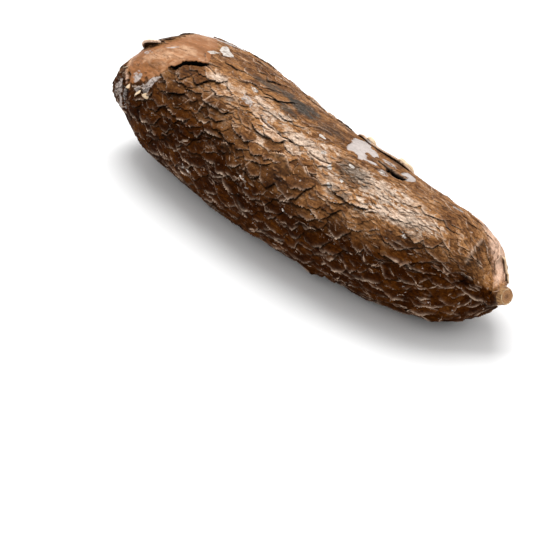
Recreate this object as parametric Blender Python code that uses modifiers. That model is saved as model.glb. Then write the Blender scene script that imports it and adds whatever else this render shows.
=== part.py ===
"""Cassava root: a thick, slightly bent storage root that tapers to a cut woody stalk.

The root is grown as one solid body.  It lies on its side along X, from the broad
crown end at low X to the narrow neck at high X, and rests on a flattened belly.
All sizes are in metres.
"""
import math
from collections import namedtuple

import bpy
import bmesh
from mathutils import Matrix, Vector

MM = 0.001

# ---- the grown body: oval sections along the root, from the crown to the neck ----
# along: distance from the crown tip, across: sideways bend, height: axis over the table
Section = namedtuple("Section", "name along across height half_width half_height")
SECTIONS = (
    Section("crown_knob", 2.0, -2.5, 38.5, 14.5, 13.5),
    Section("crown_crease", 10.0, 1.0, 39.5, 20.5, 20.0),
    Section("crown_shoulder", 23.0, 5.0, 40.0, 30.0, 30.5),
    Section("crown_swell", 45.0, 7.5, 40.0, 38.0, 39.5),
    Section("thick_belly", 80.0, 5.5, 39.5, 41.0, 41.5),
    Section("mid_belly", 118.5, -0.5, 38.5, 40.2, 40.0),
    Section("waist", 157.5, -5.0, 37.2, 38.2, 38.0),
    Section("lower_waist", 196.0, -6.5, 35.8, 36.2, 36.2),
    Section("neck_swell", 231.0, -6.5, 34.5, 33.5, 33.8),
    Section("neck_shoulder", 258.5, -4.0, 33.0, 29.5, 29.8),
    Section("neck_round", 278.0, -0.5, 31.5, 23.2, 23.8),
    Section("neck_tip", 288.5, 1.5, 30.0, 13.0, 13.5),
)
CROWN_TIP = (-1.0, -2.5, 38.0)
NECK_TIP = (291.0, 2.0, 29.0)
SEGMENTS = 14
SMOOTH_LEVELS = 2

# ---- lumps and hollows on the body ----
# along, reach along the root, angle round it, reach round it, height of the lump
Lump = namedtuple("Lump", "name along reach angle spread rise")
LUMPS = (
    Lump("crown_lobe", 2.0, 3.0, 205.0, 60.0, 1.6),
    Lump("crown_crease", 10.0, 4.0, 212.0, 45.0, -2.6),
    Lump("crown_cheek", 24.0, 7.0, 215.0, 45.0, 1.4),
    Lump("crown_back", 26.0, 12.0, 80.0, 45.0, 1.6),
    Lump("back_hollow", 138.0, 32.0, 95.0, 50.0, -1.4),
    Lump("flank_swell", 101.0, 38.0, 220.0, 55.0, 1.3),
    Lump("neck_ridge", 272.0, 12.0, 60.0, 55.0, 1.8),
    Lump("under_hollow", 189.0, 28.0, 300.0, 45.0, -1.1),
)

# ---- the flattened belly that the root rests on ----
REST_DEPTH = 1.3 * MM

# ---- the woody stalk stub at the neck ----
STALK_SEAT = (288.5, 0.5, 31.0)
STALK_YAW = math.radians(-8.0)
STALK_PITCH = math.radians(4.0)
STALK_LENGTH = 11.0 * MM
STALK_RADIUS = 3.6 * MM
STALK_FLARE = 5.2 * MM
STALK_RIM = 4.0 * MM
STALK_ROOTED = 10.0 * MM
STALK_SEGMENTS = 20

BARK_COLOUR = (0.19, 0.10, 0.05, 1.0)
WOOD_COLOUR = (0.42, 0.28, 0.13, 1.0)


def clear_scene():
    """Remove every object that is in the scene."""
    for item in list(bpy.data.objects):
        bpy.data.objects.remove(item, do_unlink=True)


def new_collection(name):
    """Make a collection under the scene's own collection."""
    group = bpy.data.collections.new(name)
    bpy.context.scene.collection.children.link(group)
    return group


def new_material(name, colour, roughness):
    """Make a plain Principled material."""
    material = bpy.data.materials.new(name)
    material.use_nodes = True
    shader = material.node_tree.nodes["Principled BSDF"]
    shader.inputs["Base Color"].default_value = colour
    shader.inputs["Roughness"].default_value = roughness
    shader.inputs["Metallic"].default_value = 0.0
    material.diffuse_color = colour
    return material


def object_from_cage(name, cage, group, material):
    """Turn a bmesh cage into a named object with its material."""
    mesh = bpy.data.meshes.new(name)
    cage.to_mesh(mesh)
    cage.free()
    mesh.materials.append(material)
    item = bpy.data.objects.new(name, mesh)
    group.objects.link(item)
    return item


def lump_rise(along, angle):
    """Sum the lumps and hollows at a place on the body, in millimetres."""
    rise = 0.0
    for lump in LUMPS:
        turn = (angle - math.radians(lump.angle) + math.pi) % (2.0 * math.pi) - math.pi
        near = ((along - lump.along) / lump.reach) ** 2
        round_it = (turn / math.radians(lump.spread)) ** 2
        rise += lump.rise * math.exp(-0.5 * (near + round_it))
    return rise


def smoothing_gain():
    """Give the factor a cage ring needs so the smoothed ring keeps its size."""
    return 3.0 / (2.0 + math.cos(2.0 * math.pi / SEGMENTS))


def place_on_section(section, angle):
    """Give the place of one cage corner on an oval section."""
    gain = smoothing_gain()
    rise = lump_rise(section.along, angle)
    across = section.across + (section.half_width + rise) * gain * math.cos(angle)
    height = section.height + (section.half_height + rise) * gain * math.sin(angle)
    return Vector((section.along, across, height)) * MM


def build_body_cage():
    """Draw a coarse sphere out into the root: one sphere ring for each section."""
    cage = bmesh.new()
    rows = len(SECTIONS) + 1
    bmesh.ops.create_uvsphere(cage, u_segments=SEGMENTS, v_segments=rows, radius=1.0)
    for corner in cage.verts:
        polar = math.acos(max(-1.0, min(1.0, corner.co.z)))
        row = round(polar / math.pi * rows)
        angle = math.atan2(corner.co.y, corner.co.x)
        if row == 0:
            corner.co = Vector(CROWN_TIP) * MM
        elif row == rows:
            corner.co = Vector(NECK_TIP) * MM
        else:
            corner.co = place_on_section(SECTIONS[row - 1], angle)
    bmesh.ops.recalc_face_normals(cage, faces=cage.faces)
    return cage


def build_body(group, material):
    """Build the smooth body of the root."""
    body = object_from_cage("cassava_root", build_body_cage(), group, material)
    smooth = body.modifiers.new("smooth", "SUBSURF")
    smooth.subdivision_type = "CATMULL_CLARK"
    smooth.levels = SMOOTH_LEVELS
    smooth.render_levels = SMOOTH_LEVELS
    smooth.show_viewport = True
    smooth.show_render = True
    return body


def stalk_outline():
    """List the stalk's outline as radius and distance along it, from its cut face down."""
    return (
        (0.0, STALK_LENGTH),
        (0.93 * STALK_RIM, STALK_LENGTH),
        (STALK_RIM, 0.96 * STALK_LENGTH),
        (STALK_RIM, 0.78 * STALK_LENGTH),
        (STALK_RADIUS, 0.66 * STALK_LENGTH),
        (1.08 * STALK_RADIUS, 0.34 * STALK_LENGTH),
        (STALK_FLARE, 0.12 * STALK_LENGTH),
        (STALK_FLARE, -STALK_ROOTED),
        (0.0, -STALK_ROOTED),
    )


def build_stalk(group, material):
    """Turn the stalk's outline about its axis and set it in the lower front of the neck."""
    cage = bmesh.new()
    corners = [cage.verts.new((radius, 0.0, along)) for radius, along in stalk_outline()]
    for upper, lower in zip(corners[:-1], corners[1:]):
        cage.edges.new((upper, lower))
    stalk = object_from_cage("stalk_stub", cage, group, material)
    turn = stalk.modifiers.new("turn", "SCREW")
    turn.axis = "Z"
    turn.angle = 2.0 * math.pi
    turn.steps = STALK_SEGMENTS
    turn.render_steps = STALK_SEGMENTS
    turn.use_merge_vertices = True
    turn.merge_threshold = 0.00001
    stalk.location = Vector(STALK_SEAT) * MM
    stalk.rotation_euler = (0.0, math.radians(90.0) + STALK_PITCH, STALK_YAW)
    return stalk


def build_rest_cutter(group, material):
    """Build the block that takes the flat off the belly."""
    cage = bmesh.new()
    bmesh.ops.create_cube(cage, size=1.0)
    size = Matrix.Diagonal((0.5, 0.2, 0.05, 1.0))
    seat = Matrix.Translation((0.15, 0.0, -0.025 + REST_DEPTH))
    bmesh.ops.transform(cage, matrix=seat @ size, verts=cage.verts)
    return object_from_cage("belly_flat", cage, group, material)


def combine(body, other, operation):
    """Join or cut a body with another object."""
    step = body.modifiers.new(operation.lower(), "BOOLEAN")
    step.operation = operation
    step.object = other
    step.solver = "EXACT"
    step.show_viewport = True
    step.show_render = True


def hide_helper(item):
    """Keep a helper object out of the finished part."""
    item.hide_render = True
    item.display_type = "WIRE"


def apply_modifiers(item):
    """Bake the modifiers of an object into its mesh."""
    graph = bpy.context.evaluated_depsgraph_get()
    finished = bpy.data.meshes.new_from_object(item.evaluated_get(graph), depsgraph=graph)
    item.modifiers.clear()
    item.data = finished


def centre_over_origin(item):
    """Move the mesh so its box is centred on the origin and stands on the table."""
    corners = [vertex.co for vertex in item.data.vertices]
    low = [min(corner[axis] for corner in corners) for axis in range(3)]
    high = [max(corner[axis] for corner in corners) for axis in range(3)]
    shift = Vector((-0.5 * (low[0] + high[0]), -0.5 * (low[1] + high[1]), -low[2]))
    item.data.transform(Matrix.Translation(shift))


def shade_smooth(item):
    """Shade the round body smooth."""
    for face in item.data.polygons:
        face.use_smooth = True


def build():
    """Build the whole root."""
    clear_scene()
    root_group = new_collection("cassava_root")
    helper_group = new_collection("helpers")
    bark = new_material("bark", BARK_COLOUR, 0.75)
    wood = new_material("stalk_wood", WOOD_COLOUR, 0.7)
    root = build_body(root_group, bark)
    stalk = build_stalk(helper_group, wood)
    cutter = build_rest_cutter(helper_group, bark)
    combine(root, stalk, "UNION")
    combine(root, cutter, "DIFFERENCE")
    hide_helper(stalk)
    hide_helper(cutter)
    apply_modifiers(root)
    centre_over_origin(root)
    shade_smooth(root)


build()
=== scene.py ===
"""Cassava root: scaly bark, peeled crown, lifted flakes and a cut stalk, on a pale floor.

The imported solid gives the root's mean shape.  The bark is laid over it as a fine skin
of overlapping scales.  Loose flakes, the torn lip and flap of the crown, the strip of
bark on the back, splinters, chips and the stalk are pieces of their own.  Sizes are in
millimetres and degrees until a mesh is made, and meshes are in metres.  A place on the
bark is given as its x and the angle round the root: 0 is +Y, 90 is up, 180 is -Y.
"""

import logging
import math
from dataclasses import Field, dataclass, field
from enum import Enum

import bpy
import numpy as np
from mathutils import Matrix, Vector
from mathutils.bvhtree import BVHTree

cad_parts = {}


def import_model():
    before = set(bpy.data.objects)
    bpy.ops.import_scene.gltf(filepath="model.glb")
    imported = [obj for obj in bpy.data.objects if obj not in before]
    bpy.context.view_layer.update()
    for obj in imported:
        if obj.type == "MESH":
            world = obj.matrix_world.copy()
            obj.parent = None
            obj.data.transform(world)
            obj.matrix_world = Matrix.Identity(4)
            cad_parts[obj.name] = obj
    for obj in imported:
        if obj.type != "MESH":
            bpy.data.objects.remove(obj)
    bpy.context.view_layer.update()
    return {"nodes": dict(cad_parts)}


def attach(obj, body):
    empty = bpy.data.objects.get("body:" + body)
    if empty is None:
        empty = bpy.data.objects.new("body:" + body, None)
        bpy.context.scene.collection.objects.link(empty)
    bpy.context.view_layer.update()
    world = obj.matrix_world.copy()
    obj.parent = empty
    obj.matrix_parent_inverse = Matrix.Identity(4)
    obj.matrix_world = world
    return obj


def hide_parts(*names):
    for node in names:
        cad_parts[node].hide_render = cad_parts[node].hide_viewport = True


MM = 0.001
MM_PER_DEGREE = 0.68
TURN = 360.0 * MM_PER_DEGREE
TINY = 1e-9
LOG = logging.getLogger("cassava")
Place = tuple[float, float]
Sizes = tuple[float, float, float]
Colour = tuple[float, float, float]
Array = np.ndarray
Piece = bpy.types.Object
Material = bpy.types.Material
Socket = bpy.types.NodeSocket


def later() -> Field:
    """A field that its class fills in by itself."""
    return field(init=False, repr=False)


def smooth_step(low: float, high: float, value: Array) -> Array:
    """Ease from 0 at low to 1 at high."""
    ramp = np.clip((value - low) / (high - low), 0.0, 1.0)
    return ramp * ramp * (3.0 - 2.0 * ramp)


def bell(value: Array, middle: float, reach: float) -> Array:
    """Fall smoothly from 1 at the middle to nothing well past the reach."""
    return np.exp(-((value - middle) / reach) ** 2)


def between(ends: tuple[float, float], share: float) -> float:
    """Value at a share of the way from one end to the other."""
    return ends[0] + (ends[1] - ends[0]) * share


def unit(vectors: Array) -> Array:
    """Scale vectors along the last axis to length one."""
    return vectors / np.maximum(np.linalg.norm(vectors, axis=-1, keepdims=True), 1e-12)


def wrap(offset: Array) -> Array:
    """Bring an offset round the root into half a turn either way."""
    return (offset + 0.5 * TURN) % TURN - 0.5 * TURN


def round_curve(knots: Array, closed: bool, steps: int = 8) -> Array:
    """Draw a smooth curve through knots.

    Args:
        knots: places in a plane, (n, 2).
        closed: whether the last knot joins the first.
        steps: points for each stretch between knots.

    Returns:
        Points along the curve.
    """
    if closed:
        padded = np.concatenate([knots[-1:], knots, knots[:2]])
    else:
        before, after = 2.0 * knots[:1] - knots[1:2], 2.0 * knots[-1:] - knots[-2:-1]
        padded = np.concatenate([before, knots, after])
    share = np.linspace(0.0, 1.0, steps, endpoint=False)[:, None]
    pieces = []
    for first, start, end, last in zip(padded, padded[1:], padded[2:], padded[3:]):
        pieces.append(0.5 * (2.0 * start + (end - first) * share
                             + (2.0 * first - 5.0 * start + 4.0 * end - last) * share ** 2
                             + (3.0 * start - 3.0 * end + last - first) * share ** 3))
    if not closed:
        pieces.append(knots[-1:])
    return np.concatenate(pieces)


def space_evenly(curve: Array, count: int) -> Array:
    """Put a number of points at even distances along a curve.

    Args:
        curve: points along it, (n, 2).
        count: how many points to put.

    Returns:
        The even points, (count, 2).
    """
    length = np.concatenate([[0.0], np.cumsum(np.linalg.norm(np.diff(curve, axis=0), axis=1))])
    wanted = np.linspace(0.0, length[-1], count)
    return np.stack([np.interp(wanted, length, curve[:, axis]) for axis in range(2)], axis=-1)


@dataclass(frozen=True)
class Lattice:
    """Smooth seeded noise in space, so a pattern has no seam round the root."""

    seed: int
    size: int = 48

    def sample(self, points: Array, cell: Sizes) -> Array:
        """Read one layer of the noise.

        Args:
            points: places in millimetres, shape (..., 3).
            cell: length of one noise cell along x, y and z.

        Returns:
            Values about -1 to 1, shape (...).
        """
        table = np.random.default_rng(self.seed).uniform(-1.0, 1.0, (self.size,) * 3)
        table = table.astype(np.float32)
        place = points / np.array(cell, dtype=np.float32) + 1000.5
        floor = np.floor(place)
        ease = (place - floor).astype(np.float32)
        ease = ease * ease * (3.0 - 2.0 * ease)
        low = floor.astype(np.int64) % self.size
        high = (low + 1) % self.size
        total = np.zeros(points.shape[:-1], dtype=np.float32)
        for corner in range(8):
            pick = [high if corner >> axis & 1 else low for axis in range(3)]
            weight = np.ones_like(total)
            for axis in range(3):
                share = ease[..., axis]
                weight = weight * (share if corner >> axis & 1 else 1.0 - share)
            total += weight * table[pick[0][..., 0], pick[1][..., 1], pick[2][..., 2]]
        return total

    def layered(self, points: Array, cell: Sizes, octaves: int = 3,
                fade: float = 0.5) -> Array:
        """Add finer and weaker layers of the noise.

        Args:
            points: places in millimetres.
            cell: cell lengths of the coarsest layer.
            octaves: number of layers.
            fade: strength of each layer next to the one before.

        Returns:
            Values about -1 to 1.
        """
        total = np.zeros(points.shape[:-1], dtype=np.float32)
        weight, reach = 1.0, 0.0
        for octave in range(octaves):
            sizes = tuple(length / 2.0 ** octave for length in cell)
            total += weight * Lattice(self.seed + 17 * octave, self.size).sample(points, sizes)
            reach += weight
            weight *= fade
        return total / reach


def blur(values: Array, reach_rows: float, reach_columns: float) -> Array:
    """Blur a grid of values that closes on itself round the root.

    Args:
        values: grid, rows along the root and columns round it.
        reach_rows: blur along the root, in cells.
        reach_columns: blur round the root, in cells.

    Returns:
        The blurred grid.
    """
    pad = int(4 * reach_rows) + 1
    padded = np.pad(values, ((pad, pad), (0, 0)), mode="edge")
    rows, columns = padded.shape
    along = np.fft.fftfreq(rows)[:, None]
    around = np.fft.rfftfreq(columns)[None, :]
    keep = np.exp(-2.0 * math.pi ** 2 * ((along * reach_rows) ** 2 + (around * reach_columns) ** 2))
    soft = np.fft.irfft2(np.fft.rfft2(padded) * keep, s=padded.shape)
    return soft[pad:-pad]


@dataclass
class RootSurface:
    """The mean surface of the root as a fine closed grid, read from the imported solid.

    The grid's rays start on the root's middle line. They fan out over the crown from
    `crown_fan`, step along to `neck_fan` and fan out again over the neck. The stalk's own
    solid is skipped within `stalk_clear` of its axis, and the grid closes smoothly over it.
    """

    node: Piece
    rows: int = 820
    columns: int = 600
    crown_fan: float = -112.0
    neck_fan: float = 106.0
    stalk_clear: float = 8.5
    stalk_slice: float = 1.3
    first_height: float = 38.0
    coarse_rows: int = 220
    coarse_columns: int = 160
    points: Array = later()
    along: Array = later()
    around: Array = later()
    normal: Array = later()
    row_step: Array = later()
    column_step: Array = later()
    arc: Array = later()
    sweep: Array = later()
    stalk_face: Array = later()

    def __post_init__(self) -> None:
        """Measure the solid and lay the grid over it."""
        mesh = self.node.data
        corners = np.empty(len(mesh.vertices) * 3, dtype=np.float64)
        mesh.vertices.foreach_get("co", corners)
        corners = corners.reshape(-1, 3) / MM
        faces = [tuple(face.vertices) for face in mesh.polygons]
        self._tree = BVHTree.FromPolygons([Vector(corner) for corner in corners], faces)
        tip = corners[:, 0].max()
        near_tip = corners[corners[:, 0] > tip - self.stalk_slice]
        self.stalk_face = np.array([tip, near_tip[:, 1].mean(), near_tip[:, 2].mean()])
        self._find_centre_line()
        self._lay_grid()
        self._find_directions()

    def _cast(self, origin: Array, aim: Array) -> float:
        """Distance from inside the root to its surface."""
        hit = self._tree.ray_cast(Vector(origin), Vector(aim))
        return hit[3] if hit[0] is not None else float("nan")

    def _find_centre_line(self) -> None:
        """Find the middle of the root at stations along it."""
        stations = np.linspace(self.crown_fan - 20.0, self.neck_fan + 15.0, 60)
        middles = []
        for station in stations:
            middle = np.array([station, 0.0, self.first_height])
            for _ in range(3):
                for axis in (1, 2):
                    aim = np.zeros(3)
                    aim[axis] = 1.0
                    middle[axis] += 0.5 * (self._cast(middle, aim) - self._cast(middle, -aim))
            middles.append(middle[1:])
        kernel = np.hanning(11)
        kernel /= kernel.sum()
        half = len(kernel) // 2
        padded = np.pad(np.array(middles), ((half, half), (0, 0)), mode="edge")
        smooth = [np.convolve(padded[:, axis], kernel, mode="valid") for axis in range(2)]
        self._stations, self._middles = stations, np.stack(smooth, axis=-1)

    def _rays(self, steps: Array, angles: Array) -> tuple[Array, Array]:
        """Origins and directions that fan over both ends and step along the middle.

        Args:
            steps: 0 at the crown's pole to 3 at the neck's pole.
            angles: angles round the root, in radians.

        Returns:
            Origins and directions, each (steps, angles, 3).
        """
        tilt = np.radians(90.0) * (np.clip(steps, 0.0, 1.0) - 1.0 + np.clip(steps - 2.0, 0.0, 1.0))
        x = self.crown_fan + (self.neck_fan - self.crown_fan) * np.clip(steps - 1.0, 0.0, 1.0)
        middle = [np.interp(x, self._stations, self._middles[:, axis]) for axis in range(2)]
        origins = np.stack([x, *middle], axis=-1)[:, None, :].repeat(len(angles), axis=1)
        flat = np.cos(tilt)[:, None]
        aims = np.stack([np.sin(tilt)[:, None] + 0.0 * angles[None, :],
                         flat * np.cos(angles)[None, :], flat * np.sin(angles)[None, :]], axis=-1)
        return origins, aims

    def _reach(self, origins: Array, aims: Array) -> Array:
        """Cast every ray and fill in what the stalk covers.

        Args:
            origins: starts of the rays, (steps, angles, 3).
            aims: their directions, of the same shape.

        Returns:
            Distances to the root's surface, (steps, angles).
        """
        shape = origins.shape[:2]
        reach = np.array([self._cast(origin, aim) for origin, aim in
                          zip(origins.reshape(-1, 3), aims.reshape(-1, 3))]).reshape(shape)
        places = origins + aims * reach[..., None]
        covered = (self.off_stalk(places) < self.stalk_clear) & (places[..., 0] > self.neck_fan)
        covered |= np.isnan(reach)
        known = np.where(covered, 0.0, reach)
        weight = (~covered).astype(float)
        for _ in range(14):
            filled = blur(known * weight, 2.5, 5.0) / np.maximum(blur(weight, 2.5, 5.0), 1e-6)
            known = np.where(covered, filled, reach)
            weight = np.where(covered, 0.35, 1.0)
        return known

    def off_stalk(self, places: Array) -> Array:
        """Distance from places to the stalk's axis."""
        return np.hypot(places[..., 1] - self.stalk_face[1], places[..., 2] - self.stalk_face[2])

    def _lay_grid(self) -> None:
        """Space the rows evenly along the surface and place every grid corner."""
        probe = np.linspace(0.0, 3.0, 240)
        ring = np.linspace(0.0, 2.0 * math.pi, 12, endpoint=False)
        origins, aims = self._rays(probe, ring)
        lines = origins + aims * self._reach(origins, aims)[..., None]
        hops = np.linalg.norm(np.diff(lines, axis=0), axis=-1).mean(axis=1)
        length = np.concatenate([[0.0], np.cumsum(hops)])
        coarse = np.interp(np.linspace(0.0, length[-1], self.coarse_rows), length, probe)
        angles = np.linspace(0.0, 2.0 * math.pi, self.coarse_columns, endpoint=False)
        reach = blur(self._reach(*self._rays(coarse, angles)), 2.2, 1.6)
        self.arc = np.linspace(0.0, length[-1], self.rows)
        fine = np.interp(self.arc, length, probe)
        rows = np.interp(fine, coarse, np.arange(self.coarse_rows))
        before = np.minimum(rows.astype(int), self.coarse_rows - 2)
        share = (rows - before)[:, None]
        tall = reach[before] * (1.0 - share) + reach[before + 1] * share
        columns = np.arange(self.columns) * self.coarse_columns / self.columns
        left = columns.astype(int)
        share = (columns - left)[None, :]
        wide = tall[:, left] * (1.0 - share) + tall[:, (left + 1) % self.coarse_columns] * share
        wide = blur(wide, 0.6 * self.rows / self.coarse_rows,
                    0.6 * self.columns / self.coarse_columns)
        angles = np.linspace(0.0, 2.0 * math.pi, self.columns, endpoint=False)
        self.sweep = np.degrees(angles) * MM_PER_DEGREE
        from_pole = np.minimum(np.arange(self.rows), np.arange(self.rows)[::-1])
        share = smooth_step(0.0, 10.0, from_pole)[:, None]
        wide = wide.mean(axis=1, keepdims=True) * (1.0 - share) + wide * share
        origins, aims = self._rays(fine, angles)
        self.points = (origins + aims * wide[..., None]).astype(np.float32)
        self.points[0] = self.points[0].mean(axis=0)
        self.points[-1] = self.points[-1].mean(axis=0)

    def _find_directions(self) -> None:
        """Find the outward normal and the directions along and round the root."""
        down = np.gradient(self.points, axis=0)
        turn = 0.5 * (np.roll(self.points, -1, axis=1) - np.roll(self.points, 1, axis=1))
        self.row_step = np.linalg.norm(down, axis=-1)
        self.column_step = np.linalg.norm(turn, axis=-1)
        self.normal = unit(np.cross(down, turn))
        middle = self.rows // 2
        outward = self.points[middle] - self.points[middle].mean(axis=0)
        if (self.normal[middle] * outward).sum() < 0.0:
            self.normal *= -1.0
        self.normal[0], self.normal[-1] = (-1.0, 0.0, 0.0), (1.0, 0.0, 0.0)
        self.along = unit(down)
        self.around = unit(turn - self.along * (turn * self.along).sum(axis=-1, keepdims=True))

    def flatten(self, place: Place) -> Array:
        """Turn x and angle into distances along and round the unrolled bark.

        Args:
            place: x in millimetres and the angle in degrees.

        Returns:
            The two distances in millimetres.
        """
        x, angle = place
        column = int(round(angle / 360.0 * self.columns)) % self.columns
        row = int(np.argmin(np.abs(self.points[:, column, 0] - x)))
        return np.array([self.arc[row], (angle % 360.0) * MM_PER_DEGREE])

    def cell(self, flat: Array) -> tuple[Array, Array]:
        """Turn unrolled distances into fractional row and column numbers."""
        row = np.clip(flat[..., 0] / self.arc[-1] * (self.rows - 1), 0.0, self.rows - 1.001)
        return row, (flat[..., 1] / TURN * self.columns) % self.columns

    def read(self, grid: Array, flat: Array) -> Array:
        """Read a grid at unrolled places, between its corners.

        Args:
            grid: values on the grid, (rows, columns, n).
            flat: unrolled places, (..., 2).

        Returns:
            Values, (..., n).
        """
        row, column = self.cell(flat)
        low, left = row.astype(int), column.astype(int) % self.columns
        right = (left + 1) % self.columns
        down, across = (row - low)[..., None], (column - np.floor(column))[..., None]
        top = grid[low, left] * (1.0 - across) + grid[low, right] * across
        bottom = grid[low + 1, left] * (1.0 - across) + grid[low + 1, right] * across
        return top * (1.0 - down) + bottom * down

    def stretch_round(self, flat: Array) -> Array:
        """How many unrolled millimetres make one real millimetre round the root."""
        ring = self.column_step.sum(axis=1)
        return TURN / np.maximum(np.interp(flat[..., 0], self.arc, ring), 12.0)


@dataclass(frozen=True)
class Patch:
    """An area of the bark inside a smooth outline.

    Its strength fades out over `edge` millimetres, and `ragged` roughens its outline. A
    negative strength takes away from the patches before it.
    """

    outline: tuple[Place, ...]
    strength: float = 1.0
    edge: float = 0.4
    ragged: float = 1.0


@dataclass(frozen=True)
class Trace:
    """A crack, crease or ridge that follows a line on the bark.

    It rises or sinks by `rise` over its width. `rim` is how pale its edge is, partly the edge's own
    paler colour and partly painted highlight, and `dark` is how much painted shade lies in its
    bottom, both from 0 to 1.
    """

    places: tuple[Place, ...]
    width: float
    rise: float
    rim: float = 0.0
    dark: float = 0.0
    ragged: float = 0.7


@dataclass(frozen=True)
class ScaleLayer:
    """One layer of bark scales: how far apart, how big and how lifted they are."""

    seed: int
    step_along: float
    step_around: float
    half_length: tuple[float, float]
    half_width: tuple[float, float]
    lift: tuple[float, float]
    curl: float
    rim: float
    crumple: float
    calm: float


@dataclass
class Scale:
    """One bark scale as placed."""

    row: int
    column: int
    half_length: float
    half_width: float
    turn: float
    lift: float
    curl: float
    tone: float
    rim: float = 1.0


class Feature(Enum):
    """Kinds of area marked on the bark, each one a map that the finish reads."""

    PEEL = "peel"
    BARE = "bare"
    FILM = "film"
    WAX = "wax"
    MOULD = "mould"
    TAN = "tan"
    PINK = "pink"
    FINE = "fine"
    DARK = "dark"


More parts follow.
